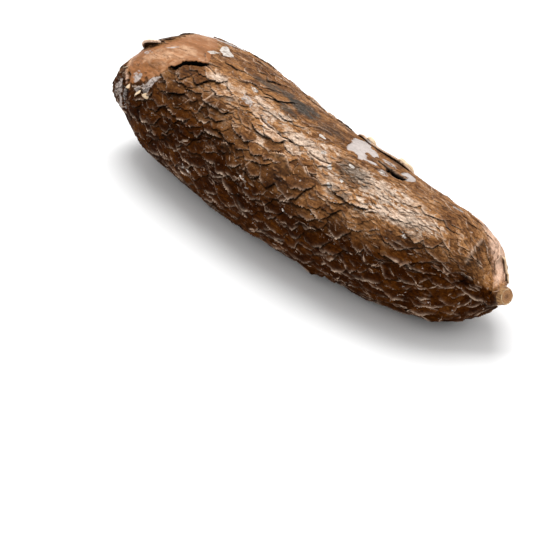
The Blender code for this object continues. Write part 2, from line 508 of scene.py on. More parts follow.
PATCHES: dict[Feature, tuple[Patch, ...]] = {
    Feature.PEEL: (
        Patch(((-142, 120), (-138, 140), (-131, 150), (-126, 158), (-120, 156), (-118, 149),
               (-109, 145), (-101, 136), (-95.5, 125), (-88, 113), (-78, 104), (-84, 96), (-83, 86),
               (-92, 72), (-99, 60), (-106, 55), (-112, 68), (-112, 84), (-117, 101), (-124, 108),
               (-135, 113)), 1, 4.5, 3),
    ),
    Feature.BARE: (
        Patch(((37, 87), (33, 78), (31, 69), (27, 60), (31, 52), (38, 55), (44, 61), (52, 67),
               (53, 76), (50, 78), (53, 82), (58, 83), (63, 87.5), (56, 88), (48, 88), (43, 85)),
              1, 2.2, 2.2),
        Patch(((46, 73), (50, 74.5), (53, 79), (49, 79.5), (46, 77)), -1, 1, 1.5),
        Patch(((34, 44), (40, 52), (44, 60), (41, 63), (37, 57), (31, 52)), -1, 0.8, 1.5),
        Patch(((44, 62), (49, 66), (55, 70), (58, 66), (50, 60)), -1, 0.8, 1.5),
        Patch(((42, 88), (45, 84.5), (47, 85.5), (45, 90)), -0.9, 0.8, 1.5),
        Patch(((70, 74), (69, 66), (73, 63), (78, 66), (80, 72), (77, 79), (74, 78), (75, 73)),
              0.95, 1.3, 1.5),
    ),
    Feature.FILM: (
        Patch(((-96, 131), (-100, 143), (-104, 157), (-109, 150), (-106, 140)), 0.72, 1, 1.6),
        Patch(((-121, 137), (-113, 140), (-116, 149), (-123, 146)), 0.62, 1.2, 1.6),
        Patch(((-112, 146), (-107, 148), (-110, 156), (-115, 153)), 0.62, 1.2, 1.6),
        Patch(((-109, 75), (-101, 70), (-99, 64), (-107, 69)), 0.9),
        Patch(((-96, 70), (-84, 63), (-80, 55), (-88, 55), (-97, 62)), 0.9),
        Patch(((-113, 108), (-104, 102), (-106, 106)), 0.7),
        Patch(((-126, 118), (-120, 113), (-118, 118), (-124, 122)), 0.6),
        Patch(((-136, 152), (-129, 162), (-130, 192), (-140, 200), (-144, 172)), 0.55, 4, 2),
        Patch(((-128, 160), (-125, 166), (-127, 186), (-130, 190)), 0.6, 1.2),
        Patch(((-134, 104), (-124, 97), (-117, 84), (-119, 80), (-127, 92)), 0.7, 0.8, 1.2),
        Patch(((-22, 108), (-8, 110), (4, 112), (2, 120), (-14, 119)), 0.5, 3, 2),
        Patch(((-40, 104), (-28, 106), (-26, 114), (-38, 113)), 0.6, 2),
        Patch(((50, 134), (58, 134), (60, 139), (52, 139)), 0.5, 1.5),
        Patch(((64, 85), (69, 87), (67, 92), (62, 90)), 0.7),
        Patch(((54, 66), (62, 67), (66, 72), (60, 74), (54, 71)), 0.6, 1.2),
        Patch(((104.5, 66), (109, 62), (110, 64.5), (105.5, 68.5)), 0.9, 0.3, 0.4),
        # A faint pale strip along the upper back is painted sheen for the pale edge the back shows
        # against the light.
        Patch(((-84, 50), (-50, 60), (-10, 56), (24, 50), (24, 40), (-20, 40), (-70, 42)),
              0.34, 5, 2),
    ),
    Feature.WAX: (
        Patch(((-84, 82), (-85, 75), (-80, 76), (-72, 80), (-71, 84), (-75, 89), (-78, 86)),
              1, 0.3, 1.4),
        Patch(((-86, 94), (-83, 88), (-79, 86), (-80, 90), (-83, 96)), 0.7, 0.3, 1.5),
        Patch(((-42, 96), (-36, 94), (-34, 97), (-37, 100)), 0.75, 1, 1.4),
        Patch(((17, 91), (20, 90), (24, 92), (21, 95)), 0.8, 1, 1.4),
        Patch(((28, 103), (32, 103), (34, 106), (30, 107)), 0.75, 1, 1.4),
        Patch(((40, 112), (44, 113), (44, 118), (40, 117)), 0.75, 1, 1.4),
        Patch(((47, 99), (51, 100), (52, 103), (48, 103)), 0.75, 1, 1.4),
        Patch(((47, 125), (52, 126), (50, 130)), 0.75, 1, 1.4),
        Patch(((50, 117), (55, 117), (54, 121)), 0.7, 1, 1.4),
        Patch(((63, 88), (67, 88), (66, 92)), 0.8, 1, 1.4),
        Patch(((-10, 161), (-3, 163), (-2, 165.5), (-8, 165)), 0.6, 1.2),
        Patch(((-60, 186), (-55, 188), (-54, 193), (-59, 192)), 0.6, 1.2),
        Patch(((26, 166), (32, 168), (34, 171), (28, 171)), 0.6, 1.2),
        Patch(((66, 129), (72, 130), (71, 133), (66, 133)), 0.55, 1.5),
        Patch(((98, 129), (104, 129), (106, 134), (101, 136)), 0.62, 2),
        Patch(((-66, 122), (-62, 123), (-63, 126)), 0.6, 1),
    ),
    Feature.MOULD: (
        Patch(((-24, 74), (-12, 66), (0, 66), (8, 76), (4, 84), (-8, 84), (-20, 82)), 1, 3, 2),
        Patch(((-50, 84), (-36, 74), (-22, 66), (-20, 80), (-34, 88)), 0.85, 3, 2.5),
        Patch(((-22, 92), (-8, 85), (2, 92), (-2, 98), (-14, 98)), 0.85, 2, 2),
        Patch(((4, 74), (24, 70), (30, 82), (14, 88)), 0.45, 5, 2),
        Patch(((42, 94), (62, 96), (72, 108), (60, 120), (44, 112)), 0.70, 5, 3),
        Patch(((48, 124), (62, 126), (64, 134), (50, 134)), 0.7, 2),
        Patch(((20, 236), (60, 238), (70, 254), (30, 256)), 0.6, 4),
        Patch(((-80, 300), (-50, 305), (-30, 325), (-70, 330)), 0.8, 4),
        Patch(((60, 10), (90, 18), (84, 36), (56, 30)), 0.6, 3),
    ),
    # Paler tan bark, mostly along the top, where it is partly painted light.
    Feature.TAN: (
        Patch(((-76, 112), (-60, 100), (-30, 94), (10, 92), (60, 90), (102, 92), (118, 106),
               (108, 132), (64, 140), (20, 122), (-30, 122), (-66, 122)), 0.9, 11, 2),
        Patch(((-84, 126), (-60, 108), (0, 98), (60, 98), (100, 112), (84, 138), (30, 144),
               (-20, 140), (-60, 142)), 0.5, 10, 2),
        Patch(((-70, 20), (-20, 10), (30, 22), (10, 40), (-40, 44)), 0.6, 6, 2),
    ),
    Feature.PINK: (
        Patch(((96, 36), (110, 47), (119, 53), (127, 59), (133, 62), (138, 58), (140, 40),
               (141, 20), (139, 350), (130, 10), (118, 20)), 1, 7, 2),
        Patch(((-126, 120), (-116, 106), (-108, 98), (-96, 94), (-84, 96), (-80, 103), (-88, 112),
               (-98, 120), (-110, 129), (-122, 134)), 1, 5, 2),
        Patch(((-141, 126), (-136, 126), (-128, 150), (-128, 158), (-136, 144)), 0.8, 1.5),
    ),
    Feature.FINE: (
        Patch(((-40, 52), (0, 44), (60, 34), (120, 40), (141, 60), (141, 120), (128, 142),
               (90, 140), (62, 132), (46, 112), (20, 90), (-20, 84)), 0.9, 6, 2),
        Patch(((92, 36), (141, 50), (141, 120), (128, 142), (92, 138)), -0.45, 8, 2),
        Patch(((128, 120), (141, 120), (141, 190), (128, 170)), 0.4, 4),
        Patch(((-114, 64), (-98, 48), (-70, 48), (-56, 66), (-66, 92), (-80, 100)), 0.7, 5),
        Patch(((-145, 110), (-130, 124), (-122, 150), (-124, 210), (-146, 220)), 0.8, 3),
    ),
    Feature.DARK: (
        Patch(((-138, 108), (-124, 101), (-115, 84), (-112, 66), (-120, 62), (-130, 84)),
              0.85, 1.2),
        Patch(((-122, 146), (-108, 142), (-99, 146), (-101, 155), (-112, 161), (-122, 158)),
              0.9, 1, 1.5),
        Patch(((64, 77), (69, 76), (75, 77.5), (70, 81)), 0.8, 0.8, 0.6),
    ),
}

TRACES: tuple[Trace, ...] = (
    Trace(((-20, 113), (-10, 115.5), (0, 116), (14, 114)), 0.7, -0.8, 0.8, 0.7, 1),
    Trace(((22, 112), (32, 114), (42, 112)), 0.7, -0.7, 0.4, 0.8),
    Trace(((-129, 143), (-125, 159), (-127, 180), (-130, 202)), 2.4, -1.9, 0, 0.35),
    Trace(((-54, 118), (-55, 130), (-57, 143)), 1.3, 0.75, 0.35, 0, 0.4),
    Trace(((127, 66), (129, 76), (130.5, 90), (131.5, 106), (132, 120)), 2.8, 0.5, 0.22, 0, 0.9),
    Trace(((-4, 146), (-6, 158), (-5, 170)), 1.2, 0.5, 0.16, 0, 0.4),
    Trace(((-96, 124.5), (-92.5, 120.5), (-89, 114.5), (-83, 110.5), (-75.5, 105)),
          1.8, -2.8, 0, 1, 0.8),
    Trace(((-78, 106), (-70, 107), (-64, 110)), 0.5, -0.5, 0.3, 0.6, 0.9),
    Trace(((54, 75.5), (60, 77), (66, 78.5)), 0.9, -1.4, 0.4, 1, 0.35),
    Trace(((63, 79), (68, 79.5), (72, 79.5), (76, 77)), 2.2, -3.4, 0.2, 1, 0.35),
    Trace(((36, 51), (46, 52), (58, 52), (68, 53)), 1.2, -1.2, 0, 1, 0.4),
)

# Long lifted free edges; their `dark` is painted shade below the edge, and their `rim` a pale edge that
# is partly painted highlight.
LEDGES: tuple[Trace, ...] = (
    Trace(((92, 158), (104, 156), (114, 159), (124, 157)), 1.5, 1.1, 0.8, 1, 1),
    Trace(((120, 147), (128, 149), (134, 154)), 1.2, 0.9, 0.6, 0.9, 1),
    Trace(((30, 158), (44, 154), (58, 158)), 1.2, 0.9, 0.7, 0.9, 1),
    Trace(((-62, 129), (-52, 132), (-42, 129)), 1.3, 1.1, 0.7, 1, 1),
    Trace(((-50, 146), (-42, 150), (-32, 147)), 1.3, 1, 0.7, 1, 1),
    Trace(((-20, 122), (-10, 125), (0, 123)), 1.2, 1, 0.6, 1, 1),
    Trace(((50, 126), (58, 131), (70, 131), (78, 127)), 1.3, 1.1, 0.7, 1, 0.8),
    Trace(((-84, 152), (-72, 156), (-60, 153)), 1.2, 0.9, 0.7, 0.9, 1),
    Trace(((-60, 246), (-40, 240), (-20, 246)), 1.2, 0.9, 0.6, 0.9, 1),
    Trace(((20, 262), (40, 257), (60, 262)), 1.2, 0.9, 0.6, 0.9, 1),
    Trace(((40, 322), (60, 328), (84, 323)), 1.3, 1.1, 0.8, 1, 1),
    Trace(((-90, 20), (-70, 24), (-52, 19)), 1.3, 1.1, 0.8, 1, 1),
    Trace(((-30, 340), (-10, 346), (14, 341)), 1.3, 1.1, 0.8, 1, 1),
)


@dataclass
class BarkRelief:
    """Height and dress maps of the bark over the mean surface.

    Each bulge is a place on the bark with its reach and its rise in millimetres.
    """

    surface: RootSurface
    layers: tuple[ScaleLayer, ...] = (
        ScaleLayer(11, 10.5, 6.2, (5.5, 12.0), (3.0, 5.2), (0.9, 2.2), 0.9, 1.0, 0.1, 0.88),
        ScaleLayer(12, 5.6, 3.4, (2.6, 6.0), (1.2, 2.2), (0.25, 0.85), 0.6, 0.55, 0.5, 0.25),
        ScaleLayer(13, 3.6, 1.8, (1.8, 4.4), (0.6, 1.1), (0.14, 0.42), 0.3, 0.3, 0.9, -0.6),
    )
    bulges: tuple[tuple[Place, float, float], ...] = (
        ((-144.0, 180.0), 9.0, 1.9), ((-123.0, 202.0), 11.0, -1.6))
    flipped_share: float = 0.06
    least_lift: float = 0.04
    # Direction of the painted light on the slopes, close to the key lamp's.
    painted_light_from: Sizes = (-0.30, 0.35, 0.88)
    height: Array = later()
    lumps: Array = later()
    warped: Array = later()
    shift: Array = later()
    bold: Array = later()
    points: Array = later()
    push: Array = later()
    maps: dict[str, Array] = later()
    scales: list[Scale] = later()

    def __post_init__(self) -> None:
        """Build the relief from the coarse forms to the fine ones."""
        shape = self.surface.points.shape[:2]
        names = [feature.value for feature in Feature] + ["tone", "rim", "shade", "flank_shade", "painted_slope_light"]
        self.height = np.zeros(shape, dtype=np.float32)
        self.push = np.zeros((*shape, 3), dtype=np.float32)
        self.maps = {name: np.zeros(shape, dtype=np.float32) for name in names}
        self.scales = []
        self._warp()
        self._mark_areas()
        self._shade_underside()
        self._lay_scales()
        self._wrinkle()
        self._carve()
        self._swell()
        self._shade_gaps()
        self._shade_slopes()
        self.points = self._raise()

    def _warp(self) -> None:
        """Push places about so that every outline on the bark is ragged."""
        points = self.surface.points
        push = [1.5 * Lattice(31 + axis).layered(points, (11.0, 8.0, 8.0), 2, 0.5)
                + 0.42 * Lattice(41 + axis).layered(points, (2.8, 2.2, 2.2), 2, 0.7)
                for axis in range(3)]
        self.warped = points + np.stack(push, axis=-1).astype(np.float32)
        self.shift = np.stack(push[:2], axis=-1)

    def _near(self, curve: Array, margin: float, ragged: float) -> tuple[Array, Array]:
        """Pick the grid corners near a curve on the unrolled bark.

        Args:
            curve: unrolled curve, (n, 2).
            margin: how far round it to look.
            ragged: how far noise moves the places.

        Returns:
            A mask over the grid, and the picked corners' places relative to the curve's first
            point, moved by noise.
        """
        surface = self.surface
        low, high = curve.min(axis=0) - margin, curve.max(axis=0) + margin
        middle = 0.5 * (low[1] + high[1])
        rows = (surface.arc > low[0]) & (surface.arc < high[0])
        columns = np.abs(wrap(surface.sweep - middle)) < 0.5 * (high[1] - low[1])
        mask = rows[:, None] & columns[None, :]
        arc = np.broadcast_to(surface.arc[:, None], mask.shape)[mask]
        sweep = np.broadcast_to(surface.sweep[None, :], mask.shape)[mask]
        places = np.stack([arc, middle + wrap(sweep - middle)], axis=-1)
        return mask, places + ragged * self.shift[mask]

    def unroll(self, places: tuple[Place, ...]) -> Array:
        """Unroll places and keep them together across the seam.

        Args:
            places: x and angle of each.

        Returns:
            Their distances along and round the unrolled bark, (n, 2).
        """
        knots = np.array([self.surface.flatten(place) for place in places])
        knots[:, 1] = knots[0, 1] + wrap(knots[:, 1] - knots[0, 1])
        return knots

    @staticmethod
    def _off(places: Array, curve: Array) -> tuple[Array, Array]:
        """Distance from places to a curve, and how far along it they are.

        Args:
            places: unrolled places, (n, 2).
            curve: unrolled curve, (m, 2).

        Returns:
            Distances and shares of the curve's length, each (n,).
        """
        best = np.full(len(places), 1e9)
        share = np.zeros(len(places))
        for index, (start, end) in enumerate(zip(curve, curve[1:])):
            edge = end - start
            ahead = np.clip(((places - start) @ edge) / max(edge @ edge, TINY), 0.0, 1.0)
            gap = np.linalg.norm(places - start - ahead[:, None] * edge, axis=1)
            nearer = gap < best
            best = np.where(nearer, gap, best)
            share = np.where(nearer, (index + ahead) / (len(curve) - 1), share)
        return best, share

    def depth_in(self, patch: Patch) -> Array:
        """Distance in from a patch's outline, negative outside it.

        Args:
            patch: the area.

        Returns:
            Depths in millimetres over the grid.
        """
        curve = round_curve(self.unroll(patch.outline), True)
        mask, places = self._near(curve, 4.0 + 2.0 * patch.edge, patch.ragged)
        closed = np.concatenate([curve, curve[:1]])
        gap, _ = self._off(places, closed)
        inside = np.zeros(len(places), dtype=bool)
        for start, end in zip(closed, closed[1:]):
            crosses = (start[1] > places[:, 1]) != (end[1] > places[:, 1])
            rise = end[1] - start[1]
            rise = rise if abs(rise) > TINY else TINY
            at = start[0] + (places[:, 1] - start[1]) / rise * (end[0] - start[0])
            inside ^= crosses & (places[:, 0] < at)
        depth = np.full(self.height.shape, -50.0)
        depth[mask] = np.where(inside, gap, -gap)
        return depth

    def _mark_areas(self) -> None:
        """Mark every patch on its map; a patch of negative strength takes away."""
        for feature, patches in PATCHES.items():
            area = self.maps[feature.value]
            for patch in patches:
                depth = self.depth_in(patch)
                share = patch.strength * smooth_step(-0.3 * patch.edge, patch.edge, depth)
                if patch.strength < 0.0:
                    area *= 1.0 + share
                else:
                    np.maximum(area, share, out=area)

    def _shade_underside(self) -> None:
        """Paint shade over the lower flank and the underside, where the scales are also bolder.

        The painted shade's border wanders, and it climbs or sinks along the root by shifts of the
        angle round it.
        """
        points, x = self.surface.points, self.surface.points[..., 0]
        angle = self.surface.sweep[None, :] / MM_PER_DEGREE
        angle = angle + 14.0 * Lattice(21).layered(points, (40.0, 25.0, 25.0), 3, 0.6)
        angle = angle + 14.0 * smooth_step(80.0, 120.0, x)
        angle = angle + 9.0 * smooth_step(-20.0, -70.0, x)
        angle = angle - 9.0 * bell(x, 38.0, 32.0)
        angle = angle + 14.0 * smooth_step(118.0, 136.0, angle) * bell(x, -38.0, 24.0)
        angle = angle + 12.0 * smooth_step(140.0, 154.0, angle) * bell(x, 88.0, 28.0)
        angle = angle - 7.0 * bell(x, 76.0, 22.0)
        front, back = smooth_step(110.0, 168.0, angle), smooth_step(310.0, 350.0, angle)
        self.maps["flank_shade"][:] = front * (1.0 - back)
        front, back = smooth_step(105.0, 140.0, angle), smooth_step(300.0, 350.0, angle)
        self.bold = 0.55 + 0.45 * front * (1.0 - back)

    def _scale_places(self, layer: ScaleLayer) -> list[Scale]:
        """Spread one layer of scales evenly over the whole surface.

        Args:
            layer: the layer.

        Returns:
            Its scales, without those that would hardly rise.
        """
        surface = self.surface
        random = np.random.default_rng(layer.seed)
        coarse = 4
        swirl = Lattice(layer.seed + 50).sample(surface.points[::coarse, ::coarse], (38.0, 30.0, 30.0))
        ring = surface.column_step.sum(axis=1)
        smooth_share = np.maximum(self.maps["peel"], self.maps["bare"])
        scales = []
        for station in np.arange(0.5 * layer.step_along, surface.arc[-1], layer.step_along):
            row = int(np.interp(station, surface.arc, np.arange(surface.rows)))
            count = max(2, int(round(ring[row] / layer.step_around)))
            start = random.uniform(0.0, 1.0)
            for index in range(count):
                share = (start + index + random.uniform(-0.42, 0.42)) / count
                column = int(share * surface.columns) % surface.columns
                jitter = random.uniform(-0.5, 0.5) * layer.step_along / surface.arc[-1]
                place = int(np.clip(row + jitter * surface.rows, 2, surface.rows - 3))
                high, long, wide, swing, flip, tone, curl = random.uniform(0.0, 1.0, 7)
                calm = 1.0 - layer.calm * self.maps["fine"][place, column]
                calm *= 1.0 - smooth_share[place, column]
                calm *= self.bold[place, column] + layer.crumple * self.maps["tan"][place, column]
                lift = between(layer.lift, high ** 1.5) * calm
                turn = 0.42 * swirl[place // coarse, column // coarse] + 0.50 * (swing - 0.5)
                if flip < self.flipped_share:
                    turn += math.pi
                if lift > self.least_lift:
                    scales.append(Scale(place, column, between(layer.half_length, long),
                                        between(layer.half_width, wide), turn, lift,
                                        layer.curl * curl, tone, layer.rim))
        return scales

    def _lay_scales(self) -> None:
        """Lay every scale over the ones below it."""
        for layer in self.layers:
            random = np.random.default_rng(layer.seed + 100)
            places = self._scale_places(layer)
            for scale in places:
                self._lay_scale(scale, random.uniform(0.0, 2.0 * math.pi, 3))
            self.scales += places
            LOG.info("bark layer %d: %d scales", layer.seed, len(places))

    def _lay_scale(self, scale: Scale, phases: Array) -> None:
        """Lay one scale: fixed at its upper side, lifted and curled at its free edge.

        Args:
            scale: the scale.
            phases: random phases of its outline's waves.
        """
        surface = self.surface
        row, column = scale.row, scale.column
        rows = int(1.3 * scale.half_length / max(surface.row_step[row, column], 0.05)) + 1
        span = 1.3 * (scale.half_width + abs(math.sin(scale.turn)) * scale.half_length)
        columns = int(span / max(surface.column_step[row, column], 0.02)) + 1
        columns = min(columns, surface.columns // 2 - 1)
        picked_rows = np.arange(max(row - rows, 0), min(row + rows + 1, surface.rows))
        picked_columns = np.arange(column - columns, column + columns + 1) % surface.columns
        window = np.ix_(picked_rows, picked_columns)
        offset = self.warped[window] - self.warped[row, column]
        along, around = surface.along[row, column], surface.around[row, column]
        cosine, sine = math.cos(scale.turn), math.sin(scale.turn)
        wide_axis = around * cosine - along * sine
        long_share = offset @ ((along * cosine + around * sine) / scale.half_length)
        wide_share = offset @ (wide_axis / scale.half_width)
        arch = np.clip(1.0 - np.abs(long_share) ** 2.2, 0.0, 1.0)
        wave = 1.0 + 0.16 * np.cos(3.1 * long_share + phases[0])
        wave = wave + 0.10 * np.cos(7.3 * long_share + phases[1])
        front = arch * wave
        behind = front - wide_share
        fall = np.clip((wide_share + 1.0) / (front + 1.0), 0.0, 1.0)
        tall = arch ** 0.45
        from_edge = np.maximum(behind, 0.0) * scale.half_width
        curl = np.exp(-from_edge / 0.9)
        free = smooth_step(0.35, 0.75, fall)
        rise = scale.lift * tall * (0.10 + 0.90 * fall ** 1.5 + 0.45 * scale.curl * curl * free)
        inside = (behind > 0.0) & (wide_share > -1.0) & (arch > 0.0)
        rise = np.where(inside, rise, -1.0)
        now = self.height[window]
        wins = rise > now
        self.height[window] = np.where(wins, rise, now)
        tone, rim, push = self.maps["tone"], self.maps["rim"], self.push
        tone[window] = np.where(wins, scale.tone, tone[window])
        # Pale rim along the free edge: partly the frayed edge's own paler colour, partly painted
        # highlight.
        pale_share = bell(long_share, 0.4 * math.cos(phases[2]), 0.65) * (0.68 + 0.32 * math.sin(phases[1]))
        line = np.exp(-from_edge / 0.34)
        edge = free * tall * pale_share * line * min(1.0, scale.lift / 0.45) * scale.rim
        rim[window] = np.where(wins, edge, rim[window])
        lean = (0.55 * scale.lift * tall * free * np.exp(-from_edge / 0.8))[..., None] * wide_axis
        push[window] = np.where(wins[..., None], lean, push[window])

    def _wrinkle(self) -> None:
        """Add the lumps, the wrinkles along the grain and the fine crumbs."""
        points, maps = self.surface.points, self.maps
        rim = smooth_step(-0.40, 0.05, Lattice(65).layered(points, (8.0, 3.5, 3.5), 2, 0.5))
        maps["rim"] *= rim
        calm = (1.0 - maps["peel"]) * (1.0 - maps["bare"]) * (1.0 - 0.7 * maps["pink"])
        self.lumps = 0.8 * Lattice(61).layered(points, (42.0, 26.0, 26.0), 2)
        self.height += self.lumps
        self.height += 0.35 * Lattice(68).layered(points, (24.0, 11.0, 11.0), 2)
        wrinkles = 0.34 * Lattice(62).layered(points, (9.0, 1.5, 1.5), 3, 0.6)
        crumple = 0.34 * Lattice(66).layered(points, (3.6, 1.9, 1.9), 2, 0.6)
        crumbs = 0.10 * Lattice(63).layered(points, (1.5, 1.0, 1.0), 2, 0.7)
        share = 0.40 + 0.35 * maps["fine"]
        self.height += calm * (share * wrinkles + (0.6 + 1.0 * maps["tan"]) * crumple + crumbs)

    def _carve(self) -> None:
        """Sink the peeled and bare areas and cut or raise the traced lines."""
        points, maps = self.surface.points, self.maps
        skin = (0.55 * Lattice(64).layered(points, (16.0, 9.0, 9.0), 3, 0.6)
                + 0.22 * Lattice(67).layered(points, (9.0, 1.8, 1.8), 3, 0.6))
        for name, level in (("peel", 0.15), ("bare", 0.05)):
            share = maps[name]
            self.height = self.height * (1.0 - share) + (level + skin + self.lumps) * share
            self.push *= (1.0 - share)[..., None]
            maps["rim"] *= 1.0 - share
        for trace in TRACES:
            self._cut(trace)
        for trace in LEDGES:
            self._step(trace)
        self.height += 0.10 * maps["wax"] + 0.05 * maps["film"]

    def _cut(self, trace: Trace) -> None:
        """Cut or raise one traced line.

        Args:
            trace: the line.
        """
        curve = round_curve(self.unroll(trace.places), False)
        mask, places = self._near(curve, 3.0 * trace.width + 2.0, trace.ragged)
        gap, share = self._off(places, curve)
        taper = self._fade_ends(share, 0.12)
        reach = gap / (trace.width * (0.35 + 0.65 * taper))
        body = np.exp(-reach ** 2 * 1.6) * (0.2 + 0.8 * taper)
        self.height[mask] += trace.rise * body
        # Painted shade in the bottom of the line, held in the shade map.
        if trace.dark > 0.0:
            dark = self.maps["shade"]
            dark[mask] = np.maximum(dark[mask], trace.dark * smooth_step(0.35, 0.75, body))
            self.push[mask] *= (1.0 - smooth_step(0.1, 0.4, body))[:, None]
        # Pale rim along the line, partly painted highlight.
        if trace.rim > 0.0:
            rim = self.maps["rim"]
            place = 0.0 if trace.rise > 0.0 else 1.15
            line = trace.rim * bell(reach, place, 0.42) * taper
            rim[mask] = np.maximum(rim[mask], line)

    def _step(self, trace: Trace) -> None:
        """Raise one long free edge: the bark lifts toward the line and drops past it.

        Args:
            trace: the line; its rise is the height of the edge.
        """
        curve = round_curve(self.unroll(trace.places), False)
        mask, places = self._near(curve, 7.0, trace.ragged)
        gap, share = self._off(places, curve)
        stations = np.linspace(0.0, 1.0, len(curve))
        nearest, ahead = (np.stack([np.interp(share, stations, line[:, axis]) for axis in range(2)],
                                   axis=-1) for line in (curve, np.gradient(curve, axis=0)))
        ahead, off = unit(ahead), places - nearest
        past = ahead[:, 0] * off[:, 1] - ahead[:, 1] * off[:, 0]
        taper = self._fade_ends(share, 0.15)
        behind = (past <= 0.0) * taper * (gap < 6.5)
        self.height[mask] += 1.5 * trace.rise * behind * np.exp(-gap / 3.0)
        near = behind * np.exp(-gap / 0.8)
        self.push[mask] += (0.7 * trace.rise * near)[:, None] * self.surface.around[mask]
        # A pale rim on the free edge, partly painted highlight, and painted shade just below the edge.
        rim, dark = self.maps["rim"], self.maps["shade"]
        noise = smooth_step(-0.25, 0.25, Lattice(69).sample(self.surface.points[mask], (3.5, 3.0, 3.0)))
        rim[mask] = np.maximum(rim[mask], trace.rim * behind * noise * np.exp(-gap / 0.35))
        below = (past > 0.0) * taper * bell(gap, 0.0, 0.7 * trace.width)
        self.height[mask] -= 0.5 * trace.rise * below
        dark[mask] = np.maximum(dark[mask], 0.8 * trace.dark * smooth_step(0.25, 0.8, below))

    @staticmethod
    def _fade_ends(share: Array, end: float) -> Array:
        """Fade a line out over a share of its length at each end."""
        return smooth_step(0.0, end, share) * (1.0 - smooth_step(1.0 - end, 1.0, share))

    def _shade_gaps(self) -> None:
        """Paint shade into the gaps under free edges and between scales: the shade map darkens the
        colour there.
        """
        surface = self.surface
        cell = float(np.median(surface.row_step))
        soft = blur(self.height, 1.3 / cell, 1.3 / cell)
        hollow = np.clip((soft - self.height - 0.10) / 0.70, 0.0, 1.0)
        under = np.zeros_like(self.height)
        flank_shade = self.maps["flank_shade"]
        for hop in range(1, 5):
            above = np.roll(self.height, hop, axis=1)
            under = np.maximum(under, above - self.height - (0.20 - 0.05 * flank_shade) * hop)
        keen = (1.0 + 0.5 * self.maps["fine"]) * (1.0 - 0.40 * self.maps["tan"]) * (1.0 + 0.5 * flank_shade)
        gaps = np.clip((0.45 * hollow + under / 1.05) * keen, 0.0, 0.92)
        self.maps["shade"] = np.maximum(self.maps["shade"], gaps).astype(np.float32)

    def _swell(self) -> None:
        """Fill out the crown a little and draw the bark up round the stalk."""
        surface = self.surface
        x = surface.points[..., 0]
        self.height += 0.9 * smooth_step(-85.0, -110.0, x)
        off_axis = surface.off_stalk(surface.points)
        self.height += 6.4 * bell(off_axis, 0.0, 7.8) * smooth_step(120.0, 136.0, x)
        for place, reach, rise in self.bulges:
            row, column = surface.cell(surface.flatten(place))
            middle = surface.points[int(row), int(column)]
            off = np.linalg.norm(surface.points - middle, axis=-1)
            self.height += rise * bell(off, 0.0, reach)

    def _shade_slopes(self) -> None:
        """Paint light on the slopes that tilt toward the key light and shade on those that tilt away;
        pale rims keep some painted light.
        """
        surface = self.surface
        step_up = np.roll(self.height, -1, axis=1) - np.roll(self.height, 1, axis=1)
        slope_round = 0.5 * step_up / np.maximum(surface.column_step, 0.1)
        slope_along = np.gradient(self.height, axis=0) / np.maximum(surface.row_step, 0.1)
        tilted = unit(surface.normal - surface.around * slope_round[..., None]
                      - surface.along * slope_along[..., None])
        gain = (tilted - surface.normal) @ np.array(self.painted_light_from)
        gain *= 0.85 - 0.40 * self.maps["tan"]
        painted_slope_light = np.maximum(0.5 + gain, 0.62 * self.maps["rim"])
        self.maps["painted_slope_light"] = np.clip(painted_slope_light, 0.0, 1.0).astype(np.float32)

    def _raise(self) -> Array:
        """Points of the finished bark surface, kept above the floor."""
        points = self.surface.points + self.surface.normal * self.height[..., None] + self.push
        points[..., 2] = np.maximum(points[..., 2], 0.0)
        return points


